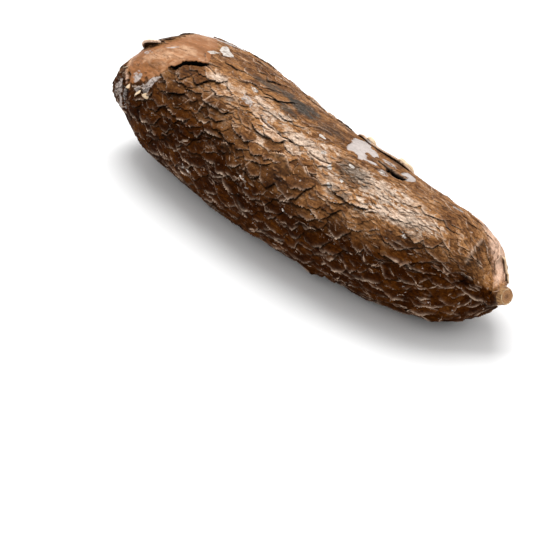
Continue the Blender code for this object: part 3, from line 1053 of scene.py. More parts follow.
class NodeSheet:
    """Adds and links the shader nodes of one material."""

    def __init__(self, name: str) -> None:
        """Start a material with its shader.

        Args:
            name: the material's name.
        """
        self.material = bpy.data.materials.new(name)
        self.material.use_nodes = True
        self.tree = self.material.node_tree
        self.shader = self.tree.nodes["Principled BSDF"]
        self.place = self.tree.nodes.new("ShaderNodeTexCoord").outputs["Object"]

    def feed(self, node: bpy.types.Node, inputs: dict[str | int, object]) -> bpy.types.Node:
        """Link sockets to a node's inputs and set its plain values.

        Args:
            node: the node.
            inputs: what goes into each input, by name or number.

        Returns:
            The same node.
        """
        for name, value in inputs.items():
            target = node.inputs[name]
            if isinstance(value, Socket):
                self.tree.links.new(value, target)
            else:
                target.default_value = (*value, 1.0) if target.type == "RGBA" else value
        return node

    def add(self, kind: str, inputs: dict[str | int, object]) -> bpy.types.Node:
        """Add a node and feed it."""
        return self.feed(self.tree.nodes.new("ShaderNode" + kind), inputs)

    def finish(self, inputs: dict[str | int, object]) -> Material:
        """Feed the shader and hand over the material."""
        self.feed(self.shader, inputs)
        return self.material

    def map(self, name: str) -> Socket:
        """Read one of the mesh's own maps."""
        node = self.add("Attribute", {})
        node.attribute_name = name
        return node.outputs["Fac"]

    def noise(self, scale: float, detail: float = 4.0, rough: float = 0.55,
              stretch: Sizes = (1.0, 1.0, 1.0), twist: float = 0.0) -> Socket:
        """Noise over the surface.

        Args:
            scale: repeats per metre.
            detail: number of finer layers.
            rough: strength of the finer layers.
            stretch: scale by axis, under 1 to lengthen.
            twist: distortion.

        Returns:
            The noise value.
        """
        placed = self.add("Mapping", {"Vector": self.place, "Scale": stretch})
        node = self.add("TexNoise", {"Vector": placed.outputs["Vector"], "Scale": scale,
                                     "Detail": detail, "Roughness": rough, "Distortion": twist})
        return node.outputs["Fac"]

    def ramp(self, value: Socket, stops: list[tuple[float, Colour]]) -> Socket:
        """Colour ramp over a value.

        Args:
            value: what runs over the ramp.
            stops: places on it and their colours.

        Returns:
            The colour.
        """
        node = self.add("ValToRGB", {"Fac": value})
        while len(node.color_ramp.elements) < len(stops):
            node.color_ramp.elements.new(0.5)
        for element, (place, colour) in zip(node.color_ramp.elements, stops):
            element.position = place
            element.color = (*colour, 1.0)
        return node.outputs["Color"]

    def band(self, value: Socket, low: float, high: float) -> Socket:
        """Ease a value from 0 at low to 1 at high."""
        node = self.add("MapRange", {"Value": value, "From Min": low, "From Max": high})
        node.interpolation_type = "SMOOTHSTEP"
        return node.outputs["Result"]

    def math(self, kind: str, first: object, second: object, clamp: bool = False) -> Socket:
        """One step of arithmetic, kept from 0 to 1 if clamped."""
        node = self.add("Math", {0: first, 1: second})
        node.operation, node.use_clamp = kind, clamp
        return node.outputs["Value"]

    def times(self, first: object, second: object) -> Socket:
        """Multiply two values."""
        return self.math("MULTIPLY", first, second)

    def plus(self, first: object, second: object, clamp: bool = False) -> Socket:
        """Add two values."""
        return self.math("ADD", first, second, clamp)

    def minus(self, first: object, second: object) -> Socket:
        """Take the second value from the first."""
        return self.math("SUBTRACT", first, second)

    def rest(self, value: Socket) -> Socket:
        """What a share leaves of one."""
        return self.minus(1.0, value)

    def larger(self, first: Socket, second: Socket) -> Socket:
        """The larger of two values."""
        return self.math("MAXIMUM", first, second)

    def swing(self, noise: Socket, amount: object) -> Socket:
        """Let a noise swing either side of 0 by an amount."""
        return self.times(self.minus(noise, 0.5), amount)

    def total(self, *terms: tuple[Socket, object]) -> Socket:
        """Add up values.

        Args:
            terms: each value with its weight.

        Returns:
            The sum.
        """
        result = self.times(*terms[0])
        for value, weight in terms[1:]:
            result = self.plus(result, self.times(value, weight))
        return result

    def mix(self, share: object, first: object, second: object, kind: str = "MIX") -> Socket:
        """Mix two colours, with the second laid over the first by a share.

        Args:
            share: how much of the second shows.
            first: first colour.
            second: second colour.
            kind: how the second is laid over the first.

        Returns:
            The mixed colour.
        """
        node = self.tree.nodes.new("ShaderNodeMix")
        node.data_type = "RGBA"
        node.blend_type = kind
        node.clamp_factor = True
        return self.feed(node, {0: share, 6: first, 7: second}).outputs[2]

    def scaled(self, colour: Socket, value: Socket) -> Socket:
        """Make a colour lighter or darker by a value."""
        node = self.add("VectorMath", {})
        node.operation = "SCALE"
        return self.feed(node, {0: colour, "Scale": value}).outputs["Vector"]

    def bump(self, height: Socket, depth: float, strength: float = 1.0) -> None:
        """Give the shader a fine bump, with its depth in metres."""
        node = self.add("Bump", {"Height": height, "Distance": depth, "Strength": strength})
        self.feed(self.shader, {"Normal": node.outputs["Normal"]})


@dataclass(frozen=True)
class BarkNoise:
    """Noises that the stages of the bark finish share, from broad clouds to fine grain."""

    broad: Socket
    blotch: Socket
    streak: Socket
    fine: Socket
    speck: Socket


@dataclass(frozen=True)
class BarkFinish:
    """Dry flaky bark: browns that change by scale, pale rims partly painted highlight, painted shade
    and light.
    """

    name: str = "bark"
    dark: Colour = (0.045, 0.016, 0.004)
    brown: Colour = (0.16, 0.065, 0.018)
    orange: Colour = (0.34, 0.165, 0.060)
    # Pale tan that the tan map pushes the bark toward; along the top it is partly painted light.
    tan: Colour = (0.575, 0.445, 0.345)
    # Painted shade multiplied over the lower flank and the underside.
    flank_shade: Colour = (0.18, 0.112, 0.038)
    furrow: Colour = (0.52, 0.45, 0.40)
    # Pale rims on free edges: partly the frayed edge's own colour, partly painted highlight.
    rim: Colour = (0.80, 0.60, 0.45)
    # Painted shade in the deep gaps under free edges.
    gap: Colour = (0.022, 0.009, 0.003)
    # Lighter painted shade in the gaps of the tan and fine areas.
    crack: Colour = (0.085, 0.040, 0.018)
    peeled: Colour = (0.58, 0.355, 0.215)
    peeled_deep: Colour = (0.28, 0.115, 0.042)
    peeled_dirt: Colour = (0.09, 0.038, 0.016)
    bare: Colour = (0.45, 0.395, 0.37)
    film: Colour = (0.43, 0.38, 0.355)
    wax: Colour = (0.56, 0.52, 0.48)
    pink: Colour = (0.62, 0.40, 0.285)
    mould: Colour = (0.052, 0.043, 0.034)
    fleck_dark: Colour = (0.52, 0.46, 0.42)
    fleck_pale: Colour = (1.15, 1.15, 1.15)
    brightest: float = 1.34
    relief: float = 0.0008

    def make(self) -> Material:
        """Build the material.

        Returns:
            The material.
        """
        sheet = NodeSheet(self.name)
        noise = BarkNoise(broad=sheet.noise(60.0, 5.0, 0.6, (0.5, 1.0, 1.0), 0.4),
                          blotch=sheet.noise(230.0, 4.0, 0.65, (0.6, 1.0, 1.0), 0.5),
                          streak=sheet.noise(420.0, 5.0, 0.65, (0.16, 1.0, 1.0), 0.6),
                          fine=sheet.noise(800.0, 5.0, 0.75, (0.7, 1.0, 1.0), 0.3),
                          speck=sheet.noise(850.0, 4.0, 0.75, (0.6, 1.0, 1.0), 0.3))
        film = self._broken(sheet, "film", noise, 0.46)
        smooth = sheet.larger(sheet.map("peel"), sheet.map("bare"))
        smooth = sheet.larger(smooth, sheet.times(sheet.map("pink"), 0.8))
        base = self._lay_bark(sheet, noise)
        base = self._lay_peel(sheet, noise, base)
        base = self._lay_film(sheet, noise, film, base)
        base = self._paint_shade_light_and_flecks(sheet, noise, smooth, base)
        rough = sheet.minus(0.72, sheet.times(smooth, 0.24))
        rough = sheet.minus(rough, sheet.times(film, 0.15))
        rough = sheet.plus(rough, sheet.swing(noise.blotch, 0.5), True)
        # The specular level drops in the painted shade of the lower flank and the gaps, and rises on
        # the pale rims.
        glint = sheet.minus(0.12, sheet.times(sheet.map("flank_shade"), 0.11))
        glint = sheet.plus(glint, sheet.times(sheet.map("rim"), 0.15))
        glint = sheet.times(glint, sheet.rest(sheet.map("shade")))
        grain = sheet.total((noise.streak, 0.8), (noise.speck, 0.5), (noise.blotch, 1.2))
        sheet.bump(sheet.times(grain, sheet.rest(sheet.times(smooth, 0.8))), self.relief, 0.9)
        return sheet.finish({"Base Color": base, "Roughness": rough, "Specular IOR Level": glint})

    def _lay_bark(self, sheet: NodeSheet, noise: BarkNoise) -> Socket:
        """Colour the whole bark: browns, a tan band partly painted light, painted shade on the lower
        flank, furrows, stains, pink skin and pale rims partly painted highlight.

        Args:
            sheet: the material's nodes.
            noise: the shared noises.

        Returns:
            The colour.
        """
        tone = sheet.map("tone")
        # The tan band pales more on some scales and areas; along the top this is partly painted light.
        pale_share = sheet.total((tone, 0.28), (sheet.band(noise.broad, 0.36, 0.60), 0.26))
        light = sheet.total((tone, 0.20), (noise.broad, 0.60), (noise.streak, 0.44),
                            (noise.blotch, 0.64), (sheet.map("tan"), sheet.plus(pale_share, 0.10)),
                            (sheet.swing(noise.streak, sheet.map("fine")), 0.6))
        stops = [(0.12, self.dark), (0.36, self.brown), (0.55, self.orange), (0.82, self.tan)]
        base = sheet.ramp(sheet.minus(light, 0.535), stops)
        # Painted shade over the lower flank and the underside.
        base = sheet.mix(sheet.map("flank_shade"), base, self.flank_shade, "MULTIPLY")
        hair = sheet.noise(900.0, 3.0, 0.6, (0.14, 1.0, 1.0), 0.5)
        base = sheet.mix(sheet.rest(sheet.band(hair, 0.35, 0.46)), base, self.furrow, "MULTIPLY")
        base = sheet.mix(sheet.times(sheet.map("dark"), 0.8), base, self.dark)
        stain = sheet.band(sheet.total((noise.streak, 0.9), (noise.blotch, 0.5)), 0.54, 0.71)
        base = sheet.mix(sheet.times(sheet.map("mould"), stain), base, self.mould)
        flushed = sheet.band(noise.blotch, 0.30, 0.55)
        base = sheet.mix(sheet.times(sheet.map("pink"), flushed), base, self.pink)
        # Pale rims, partly painted highlight.
        return sheet.mix(sheet.times(sheet.map("rim"), 1.25), base, self.rim)

    def _lay_peel(self, sheet: NodeSheet, noise: BarkNoise, base: Socket) -> Socket:
        """Show the ruddy, streaked and smudged skin where the bark has peeled.

        Args:
            sheet: the material's nodes.
            noise: the shared noises.
            base: the bark's colour.

        Returns:
            The colour with the peeled places.
        """
        ruddy = sheet.total((sheet.map("pink"), 0.42), (noise.broad, 1.7), (noise.blotch, 1.5),
                            (noise.streak, 0.9))
        skin = sheet.mix(sheet.band(ruddy, 2.05, 2.90), self.peeled_deep, self.peeled)
        streaks = sheet.times(sheet.band(noise.streak, 0.50, 0.62), 0.60)
        skin = sheet.mix(streaks, skin, self.peeled_deep)
        smudge = sheet.band(sheet.total((noise.speck, 0.8), (noise.streak, 0.6)), 0.72, 0.90)
        skin = sheet.mix(sheet.times(smudge, 0.75), skin, self.peeled_dirt)
        ragged = sheet.plus(sheet.map("peel"), sheet.swing(noise.blotch, 1.6))
        return sheet.mix(sheet.band(ragged, 0.25, 0.62), base, skin)

    def _lay_film(self, sheet: NodeSheet, noise: BarkNoise, film: Socket, base: Socket) -> Socket:
        """Lay the pale things over the bark: bare places, film, wax and crumbs.

        Args:
            sheet: the material's nodes.
            noise: the shared noises.
            film: where the film is.
            base: the bark's colour.

        Returns:
            The colour with the pale places.
        """
        dull = tuple(0.88 * value for value in self.bare)
        bare = sheet.mix(sheet.band(noise.blotch, 0.42, 0.62), self.bare, dull)
        ragged = sheet.plus(sheet.map("bare"), sheet.swing(noise.fine, 2.2))
        ragged = sheet.plus(ragged, sheet.swing(noise.blotch, 1.6))
        base = sheet.mix(sheet.band(ragged, 0.44, 0.56), base, bare)
        base = sheet.mix(sheet.times(film, 0.9), base, self.film)
        base = sheet.mix(self._broken(sheet, "wax", noise, 0.50), base, self.wax)
        crumbs = sheet.band(sheet.noise(520.0, 3.0, 0.7, (0.6, 1.0, 1.0), 0.4), 0.655, 0.70)
        open_bark = sheet.plus(0.30, sheet.times(sheet.map("tan"), 0.5))
        return sheet.mix(sheet.times(crumbs, open_bark), base, self.wax)

    def _paint_shade_light_and_flecks(self, sheet: NodeSheet, noise: BarkNoise, smooth: Socket, base: Socket) -> Socket:
        """Paint shade into the gaps, fleck the rough bark and paint light on the slopes that look up
        and shade on those that look down.

        Args:
            sheet: the material's nodes.
            noise: the shared noises.
            smooth: where the bark is smooth.
            base: the colour so far.

        Returns:
            The finished colour.
        """
        # Painted shade in the gaps, from the shade map; lighter where the bark is tan or fine.
        shallow = sheet.larger(sheet.map("tan"), sheet.map("fine"))
        base = sheet.mix(sheet.map("shade"), base, sheet.mix(shallow, self.gap, self.crack))
        fleck = sheet.mix(sheet.band(noise.speck, 0.32, 0.68), self.fleck_dark, self.fleck_pale)
        base = sheet.mix(sheet.rest(sheet.times(smooth, 0.75)), base, fleck, "MULTIPLY")
        # Painted light and shade: the colour is scaled up on slopes that look up and down on slopes
        # that look down.
        painted_light = sheet.plus(sheet.times(sheet.map("painted_slope_light"), 2.3), -0.08)
        return sheet.scaled(base, sheet.math("MINIMUM", painted_light, self.brightest))

    @staticmethod
    def _broken(sheet: NodeSheet, name: str, noise: BarkNoise, level: float) -> Socket:
        """Break a map's areas into ragged blots with holes.

        Args:
            sheet: the material's nodes.
            name: the map.
            noise: the shared noises.
            level: how much of the area stays open.

        Returns:
            The share covered.
        """
        blots = sheet.minus(sheet.total((noise.blotch, 1.5), (noise.fine, 1.2)), 1.35)
        return sheet.band(sheet.plus(sheet.map(name), blots), level, level + 0.14)


@dataclass(frozen=True)
class WoodFinish:
    """Pale inner wood of chips, splinters and fibres, streaked along its grain."""

    name: str = "pale_wood"
    light: Colour = (0.80, 0.66, 0.47)
    deep: Colour = (0.62, 0.42, 0.24)
    rim: Colour = (0.74, 0.58, 0.42)
    rough: float = 0.6
    grain: Sizes = (0.15, 1.0, 1.0)
    spots: float = 0.2

    def make(self) -> Material:
        """Build the material.

        Returns:
            The material.
        """
        sheet = NodeSheet(self.name)
        streak = sheet.noise(700.0, 5.0, 0.65, self.grain, 0.5)
        cloud = sheet.noise(240.0, 4.0, 0.6)
        base = sheet.mix(sheet.band(streak, 0.35, 0.68), self.deep, self.light)
        base = sheet.mix(sheet.times(sheet.band(cloud, 0.50, 0.72), self.spots), base, self.deep)
        # Painted shade from the shade map, and pale edges from the rim map that are partly painted
        # highlight.
        shaded = tuple(0.16 * value for value in self.deep)
        base = sheet.mix(sheet.times(sheet.map("shade"), 0.85), base, shaded)
        base = sheet.mix(sheet.times(sheet.map("rim"), 0.7), base, self.rim)
        rough = sheet.plus(self.rough, sheet.swing(cloud, 0.4), True)
        sheet.bump(streak, 0.0005, 0.8)
        return sheet.finish({"Base Color": base, "Roughness": rough})


@dataclass
class MeshDraft:
    """Corners, faces and maps of a mesh that grows part by part."""

    corners: list[Array] = field(default_factory=list)
    faces: list[Array] = field(default_factory=list)
    maps: dict[str, list[Array]] = field(default_factory=dict)
    count: int = 0

    def add(self, corners: Array, faces: Array, **maps: Array) -> None:
        """Add one part.

        Args:
            corners: places in millimetres, (n, 3).
            faces: corner numbers, (m, 4); a repeated last corner makes a triangle.
            maps: one value for each corner, by map name.
        """
        self.corners.append(corners)
        self.faces.append(faces + self.count)
        self.count += len(corners)
        for name, values in maps.items():
            self.maps.setdefault(name, []).append(values)

    def finish(self, name: str, material: Material,
               layout: Array | None = None) -> Piece:
        """Make the mesh object.

        Args:
            name: object name.
            material: its material.
            layout: flat places of every face's corners for baking, (m, 4, 2).

        Returns:
            The linked object, which rides with the root.
        """
        corners, faces = np.concatenate(self.corners), np.concatenate(self.faces)
        triangle = faces[:, 3] == faces[:, 2]
        sizes = np.where(triangle, 3, 4).astype(np.int32)
        keep = np.ones(faces.shape, dtype=bool)
        keep[triangle, 3] = False
        loops = faces[keep].astype(np.int32)
        mesh = bpy.data.meshes.new(name)
        mesh.vertices.add(len(corners))
        mesh.vertices.foreach_set("co", (corners * MM).astype(np.float32).ravel())
        mesh.loops.add(len(loops))
        mesh.loops.foreach_set("vertex_index", loops)
        mesh.polygons.add(len(faces))
        starts = np.concatenate([[0], np.cumsum(sizes)[:-1]]).astype(np.int32)
        mesh.polygons.foreach_set("loop_start", starts)
        mesh.polygons.foreach_set("use_smooth", np.ones(len(faces), dtype=bool))
        mesh.update(calc_edges=True)
        if layout is not None:
            sheet = mesh.uv_layers.new(name="OFBake")
            sheet.data.foreach_set("uv", layout[keep].astype(np.float32).ravel())
        mesh.validate()
        mesh.materials.append(material)
        for label, values in self.maps.items():
            layer = mesh.attributes.new(label, "FLOAT", "POINT")
            layer.data.foreach_set("value", np.concatenate(values).astype(np.float32))
        piece = bpy.data.objects.new(name, mesh)
        bpy.context.scene.collection.objects.link(piece)
        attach(piece, "root")
        LOG.info("%s: %d faces", name, len(mesh.polygons))
        return piece


@dataclass
class BarkSkin:
    """The whole bark surface as one closed fine mesh."""

    relief: BarkRelief
    name: str = "bark_skin"

    def build(self, material: Material) -> Piece:
        """Build the skin.

        Args:
            material: the bark finish.

        Returns:
            The skin object.
        """
        rows, columns = self.relief.height.shape
        points = self.relief.points
        corners = np.concatenate([points[0, :1], points[1:-1].reshape(-1, 3), points[-1, :1]])
        number = 1 + np.arange((rows - 2) * columns).reshape(rows - 2, columns)
        after = np.roll(number, -1, axis=1)
        body = np.stack([number[1:], after[1:], after[:-1], number[:-1]], axis=-1)
        first, last = np.zeros(columns, dtype=int), np.full(columns, len(corners) - 1)
        crown = np.stack([first, number[0], after[0], after[0]], axis=-1)
        neck = np.stack([last, after[-1], number[-1], number[-1]], axis=-1)
        faces = np.concatenate([body.reshape(-1, 4), crown, neck])
        row, column = np.meshgrid(np.arange(1, rows - 2), np.arange(columns), indexing="ij")
        low, high = row / (rows - 1), (row + 1) / (rows - 1)
        left, right = column / columns, (column + 1) / columns
        places = ((high, left), (high, right), (low, right), (low, left))
        flat = np.stack([np.stack(place, -1) for place in places], axis=-2).reshape(-1, 4, 2)
        flat = np.concatenate([flat, self._fan(columns, 0.0, 1.0 / (rows - 1), False),
                               self._fan(columns, 1.0, 1.0 - 1.0 / (rows - 1), True)])
        faces, flat = self._outward(corners, faces, flat)
        maps = {name: np.concatenate([values[0, :1], values[1:-1].ravel(), values[-1, :1]])
                for name, values in self.relief.maps.items()}
        draft = MeshDraft()
        draft.add(corners, faces, **maps)
        skin = draft.finish(self.name, material, flat)
        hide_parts("cassava_root")
        return skin

    @staticmethod
    def _fan(columns: int, pole: float, edge: float, back: bool) -> Array:
        """Flat places of a fan of triangles round a pole.

        Args:
            columns: number of triangles.
            pole: place of the pole along the sheet.
            edge: place of the fan's edge along the sheet.
            back: whether each triangle runs backward round the root.

        Returns:
            Places of the triangles' corners, (columns, 4, 2).
        """
        ring = np.arange(columns)
        first, second = (ring + 1, ring) if back else (ring, ring + 1)
        sides = [np.stack([np.full(columns, edge), side / columns], axis=-1)
                 for side in (first, second)]
        top = np.stack([np.full(columns, pole), (ring + 0.5) / columns], axis=-1)
        return np.stack([top, sides[0], sides[1], sides[1]], axis=1)

    @staticmethod
    def _outward(corners: Array, faces: Array, flat: Array) -> tuple[Array, Array]:
        """Turn every face so that it looks outward, and its flat places with it.

        Args:
            corners: places, (n, 3).
            faces: corner numbers, (m, 4).
            flat: flat places of the faces' corners, (m, 4, 2).

        Returns:
            The faces and their flat places.
        """
        first = corners[faces[:, 1]] - corners[faces[:, 0]]
        second = corners[faces[:, 2]] - corners[faces[:, 0]]
        outward = corners[faces].mean(axis=1) - corners.mean(axis=0)
        if (np.cross(first, second) * outward).sum() < 0.0:
            triangle = (faces[:, 2] == faces[:, 3])[:, None]
            faces = np.where(triangle, faces[:, [0, 2, 1, 1]], faces[:, ::-1])
            flat = np.where(triangle[..., None], flat[:, [0, 2, 1, 1]], flat[:, ::-1])
        return faces, flat


@dataclass(frozen=True)
class Ribbon:
    """A long thin sheet beside a line on the bark.

    It starts `inner` behind the line and reaches `outer` past it, on the line's left as seen
    unrolled, or on its right where side is -1. `rise` holds its heights from the inner edge
    to the outer one. The outer edge is `ragged`, and pale from the share `pale_from` of the
    width on; the pale edge is partly its own colour and partly painted highlight. Each end
    narrows over the share `ends` of the length.
    """

    places: tuple[Place, ...]
    inner: float
    outer: float
    rise: tuple[float, ...]
    thickness: float
    side: float = 1.0
    ragged: float = 0.15
    steps: int = 40
    pale: float = 0.8
    pale_from: float = 0.8
    ends: float = 0.14


@dataclass
class ThinSheets:
    """Builds thin curled sheets of bark or peel that follow the bark and stand off it."""

    relief: BarkRelief
    follow: float = 1.0
    draft: MeshDraft = field(default_factory=MeshDraft)

    def __post_init__(self) -> None:
        """Soften the bark below the sheets and keep its maps for reading."""
        self.surface = self.relief.surface
        cell = float(np.median(self.surface.row_step))
        soft = blur(self.relief.height, self.follow / cell, self.follow / cell)
        self._base = self.surface.points + self.surface.normal * soft[..., None]
        self._maps = np.stack(list(self.relief.maps.values()), axis=-1)

    def on_bark(self, flat: Array, rise: Array) -> Array:
        """Places over the bark.

        Args:
            flat: unrolled places, (..., 2).
            rise: heights over the bark.

        Returns:
            Places in millimetres.
        """
        normal = unit(self.surface.read(self.surface.normal, flat))
        return self.surface.read(self._base, flat) + normal * rise[..., None]

    def lay(self, flat: Array, rise: Array, thickness: float, edge: Array, **dress: float) -> None:
        """Add one sheet with real thickness.

        Args:
            flat: unrolled places of its grid, (n, m, 2).
            rise: height of its upper face over the bark, (n, m).
            thickness: thickness in millimetres.
            edge: how pale the rim is, (n, m).
            dress: map values that the sheet has instead of the bark's own below it.
        """
        upper = self.on_bark(flat, rise)
        lower = self.on_bark(flat, rise - thickness)
        tall, wide = rise.shape
        number = np.arange(tall * wide).reshape(tall, wide)
        grid = np.stack([number[:-1, :-1], number[1:, :-1], number[1:, 1:], number[:-1, 1:]], axis=-1)
        grid = grid.reshape(-1, 4)
        ring = np.concatenate([number[0, :-1], number[:-1, -1], number[-1, :0:-1], number[:0:-1, 0]])
        after = np.roll(ring, -1)
        offset = tall * wide
        side = np.stack([ring, after, after + offset, ring + offset], axis=-1)
        faces = np.concatenate([grid, grid[:, ::-1] + offset, side])
        corners = np.concatenate([upper.reshape(-1, 3), lower.reshape(-1, 3)])
        first = corners[grid[:, 1]] - corners[grid[:, 0]]
        second = corners[grid[:, 3]] - corners[grid[:, 0]]
        outward = unit(self.surface.read(self.surface.normal, flat)).reshape(-1, 3)[grid[:, 0]]
        if (np.cross(first, second) * outward).sum() < 0.0:
            faces = faces[:, ::-1]
        read = self.surface.read(self._maps, flat).reshape(offset, -1)
        maps = {name: np.tile(read[:, number], 2) for number, name in enumerate(self.relief.maps)}
        # The pale edge goes on both faces and is partly painted highlight; the lower face gets painted
        # shade except at its pale edge, and both faces get an even, neutral painted light.
        maps["rim"] = np.concatenate([edge.ravel(), 0.8 * edge.ravel()])
        maps["shade"] = np.concatenate([np.zeros(offset), 0.8 * (1.0 - edge.ravel())])
        maps["painted_slope_light"] = np.full(2 * offset, 0.5)
        for name, value in dress.items():
            maps[name] = np.full(2 * offset, value)
        self.draft.add(corners, faces, **maps)

    def flake(self, scale: Scale, stand: float, random: np.random.Generator) -> None:
        """Add one loose flake: fixed along its upper side, standing off at its free edge.

        Args:
            scale: where it is and how big.
            stand: how far its free edge stands off.
            random: source of its own shape.
        """
        surface = self.surface
        centre = np.array([surface.arc[scale.row], surface.sweep[scale.column]])
        long_share = np.linspace(-1.0, 1.0, 13)[:, None]
        wide_share = np.linspace(0.0, 1.0, 6)[None, :]
        phases = random.uniform(0.0, 6.28, 4)
        ripple = 0.10 * np.sin(5.0 * long_share + phases[0])
        ripple = ripple + 0.06 * np.sin(11.0 * long_share + phases[1])
        arch = (1.0 - np.abs(long_share) ** 3.0) ** 0.42
        reach = scale.half_width * (-0.75 + wide_share * (1.75 + ripple) * arch + 0.35 * (1.0 - arch))
        length = scale.half_length * (long_share * (1.0 - 0.10 * wide_share) + 0.04 * ripple)
        cosine, sine = math.cos(scale.turn), math.sin(scale.turn)
        stretch = float(surface.stretch_round(centre))
        flat = centre + np.stack([length * cosine - reach * sine,
                                  (length * sine + reach * cosine) * stretch], axis=-1)
        lean = 1.0 + 0.35 * np.sin(2.2 * long_share + phases[2])
        rise = -0.35 + (stand + 0.35) * wide_share ** 1.4 * arch * lean
        rise += 0.12 * np.sin(6.0 * long_share + phases[3]) * wide_share
        edge = 0.6 * (wide_share > 0.9) * np.clip(0.4 + np.sin(4.0 * long_share + phases[1]), 0.0, 1.0)
        self.lay(flat, rise, random.uniform(0.18, 0.34), edge, tone=scale.tone)

    def ribbon(self, ribbon: Ribbon, random: np.random.Generator, **dress: float) -> None:
        """Add a long sheet beside a line on the bark.

        Args:
            ribbon: the sheet.
            random: source of its own shape.
            dress: map values that the sheet has instead of the bark's own.
        """
        count, across_steps = ribbon.steps, 9
        line = space_evenly(round_curve(self.relief.unroll(ribbon.places), False), count)
        ahead = unit(np.gradient(line, axis=0))
        across = ribbon.side * np.stack([-ahead[:, 1], ahead[:, 0]], axis=-1)
        share = np.linspace(0.0, 1.0, count)
        from_end = np.clip(np.minimum(share, 1.0 - share) / ribbon.ends, 0.0, 1.0)
        taper = (np.sin(0.5 * math.pi * from_end) ** 0.7)[:, None]
        jag = np.convolve(random.uniform(-1.0, 1.0, count + 2), [0.25, 0.5, 0.25], mode="valid")
        steps = np.linspace(0.0, 1.0, across_steps)[None, :]
        width = ribbon.inner + ribbon.outer * taper + ribbon.ragged * jag[:, None]
        flat = line[:, None, :] + across[:, None, :] * (width * steps - ribbon.inner)[..., None]
        heights = np.interp(steps[0], np.linspace(0.0, 1.0, len(ribbon.rise)), ribbon.rise)[None, :]
        sway = np.sin(9.0 * share + random.uniform(0.0, 6.28))[:, None]
        low = min(ribbon.rise[0], 0.0)
        lifted = low + (heights - low) * (0.25 + 0.75 * taper) * (1.0 + 0.22 * ribbon.ragged * sway)
        fade = smooth_step(ribbon.pale_from, 0.5 * (1.0 + ribbon.pale_from), steps)
        self.lay(flat, lifted, ribbon.thickness, ribbon.pale * np.repeat(fade, count, axis=0), **dress)


@dataclass
class LooseFlakes:
    """Loose flakes of bark standing off the skin, in one piece for each stretch of the root."""

    relief: BarkRelief
    seed: int = 301
    stretches: tuple[tuple[str, float, float], ...] = (
        ("flakes_crown", -160.0, -80.0), ("flakes_belly", -80.0, 10.0), ("flakes_waist", 10.0, 90.0),
        ("flakes_neck", 90.0, 160.0))
    share: float = 0.07
    stand: tuple[float, float] = (0.5, 1.5)
    lowest: float = 9.0

    def build(self, material: Material) -> None:
        """Build every stretch's flakes.

        Args:
            material: finish of the bark.
        """
        surface, relief = self.relief.surface, self.relief
        for name, low, high in self.stretches:
            random = np.random.default_rng(self.seed + int(low))
            sheets = ThinSheets(relief)
            for scale in relief.scales:
                x, _, z = surface.points[scale.row, scale.column]
                angle = surface.sweep[scale.column] / MM_PER_DEGREE
                crown_top = x < -100.0 and 50.0 < angle < 125.0
                far_side = 8.0 < angle < 82.0
                big = 3.0 < scale.half_length < 10.0 and scale.lift > 0.35
                clear = z >= self.lowest and not (crown_top or far_side)
                if not (low <= x < high and big and clear) or random.uniform() > self.share:
                    continue
                stand = random.uniform(*self.stand) * min(1.0, scale.half_width / 3.0)
                turn = scale.turn + random.uniform(-0.2, 0.2)
                small = Scale(scale.row, scale.column, 0.75 * scale.half_length,
                              0.80 * scale.half_width, turn, scale.lift, scale.curl, scale.tone)
                sheets.flake(small, stand, random)
            sheets.draft.finish(name, material)


@dataclass
class CrownTears:
    """The torn lip of the peel, the flap that stands on the crown, and pale chips."""

    relief: BarkRelief
    lip: Ribbon = Ribbon(((-97, 125), (-93, 120), (-91, 114), (-86, 111), (-81, 107), (-76, 103)),
                         6.0, 1.3, (-0.3, 0.1, 0.6, 1.3, 2.0, 2.3), 0.45, ragged=0.9, pale=0.25)
    curl: Ribbon = Ribbon(((-77, 104), (-80, 99), (-83, 95)), 1.6, 1.2, (-0.3, 0.8, 2.0), 0.35,
                          side=-1.0, ragged=0.4, steps=16, pale=0.3)
    flap: Ribbon = Ribbon(((-134.5, 110), (-130, 108), (-125.5, 106), (-120, 103.5)), 1.6, 3.0,
                          (-0.4, 1.6, 3.3, 4.4, 4.8, 4.5), 1.2, ragged=0.12, pale=1.0,
                          pale_from=0.45, ends=0.45)
    chips: tuple[tuple[Place, float], ...] = (
        ((-135, 141), 2.4), ((-123.5, 157), 2.4), ((-110, 156), 3.6), ((-101.5, 155), 2.2))

    def build(self, bark: Material, cream: Material) -> None:
        """Build the tears.

        Args:
            bark: finish of the bark.
            cream: finish of pale inner wood.
        """
        random = np.random.default_rng(74)
        lip = ThinSheets(self.relief, 3.0)
        for ribbon in (self.lip, self.curl):
            lip.ribbon(ribbon, random, peel=1.0, wax=0.0, film=0.0)
        lip.draft.finish("torn_lip", bark)
        flap = ThinSheets(self.relief, 3.0)
        flap.ribbon(self.flap, random, dark=0.9, tone=0.5)
        flap.draft.finish("crown_flap", bark)
        chips = ThinSheets(self.relief)
        for place, half in self.chips:
            row, column = self.relief.surface.cell(self.relief.surface.flatten(place))
            turn = random.uniform(-0.8, 0.8)
            chip = Scale(int(row), int(column), half, 0.58 * half, turn, 1.0, 0.5, 0.5)
            chips.flake(chip, 1.7, random)
        chips.draft.finish("pale_chips", cream)


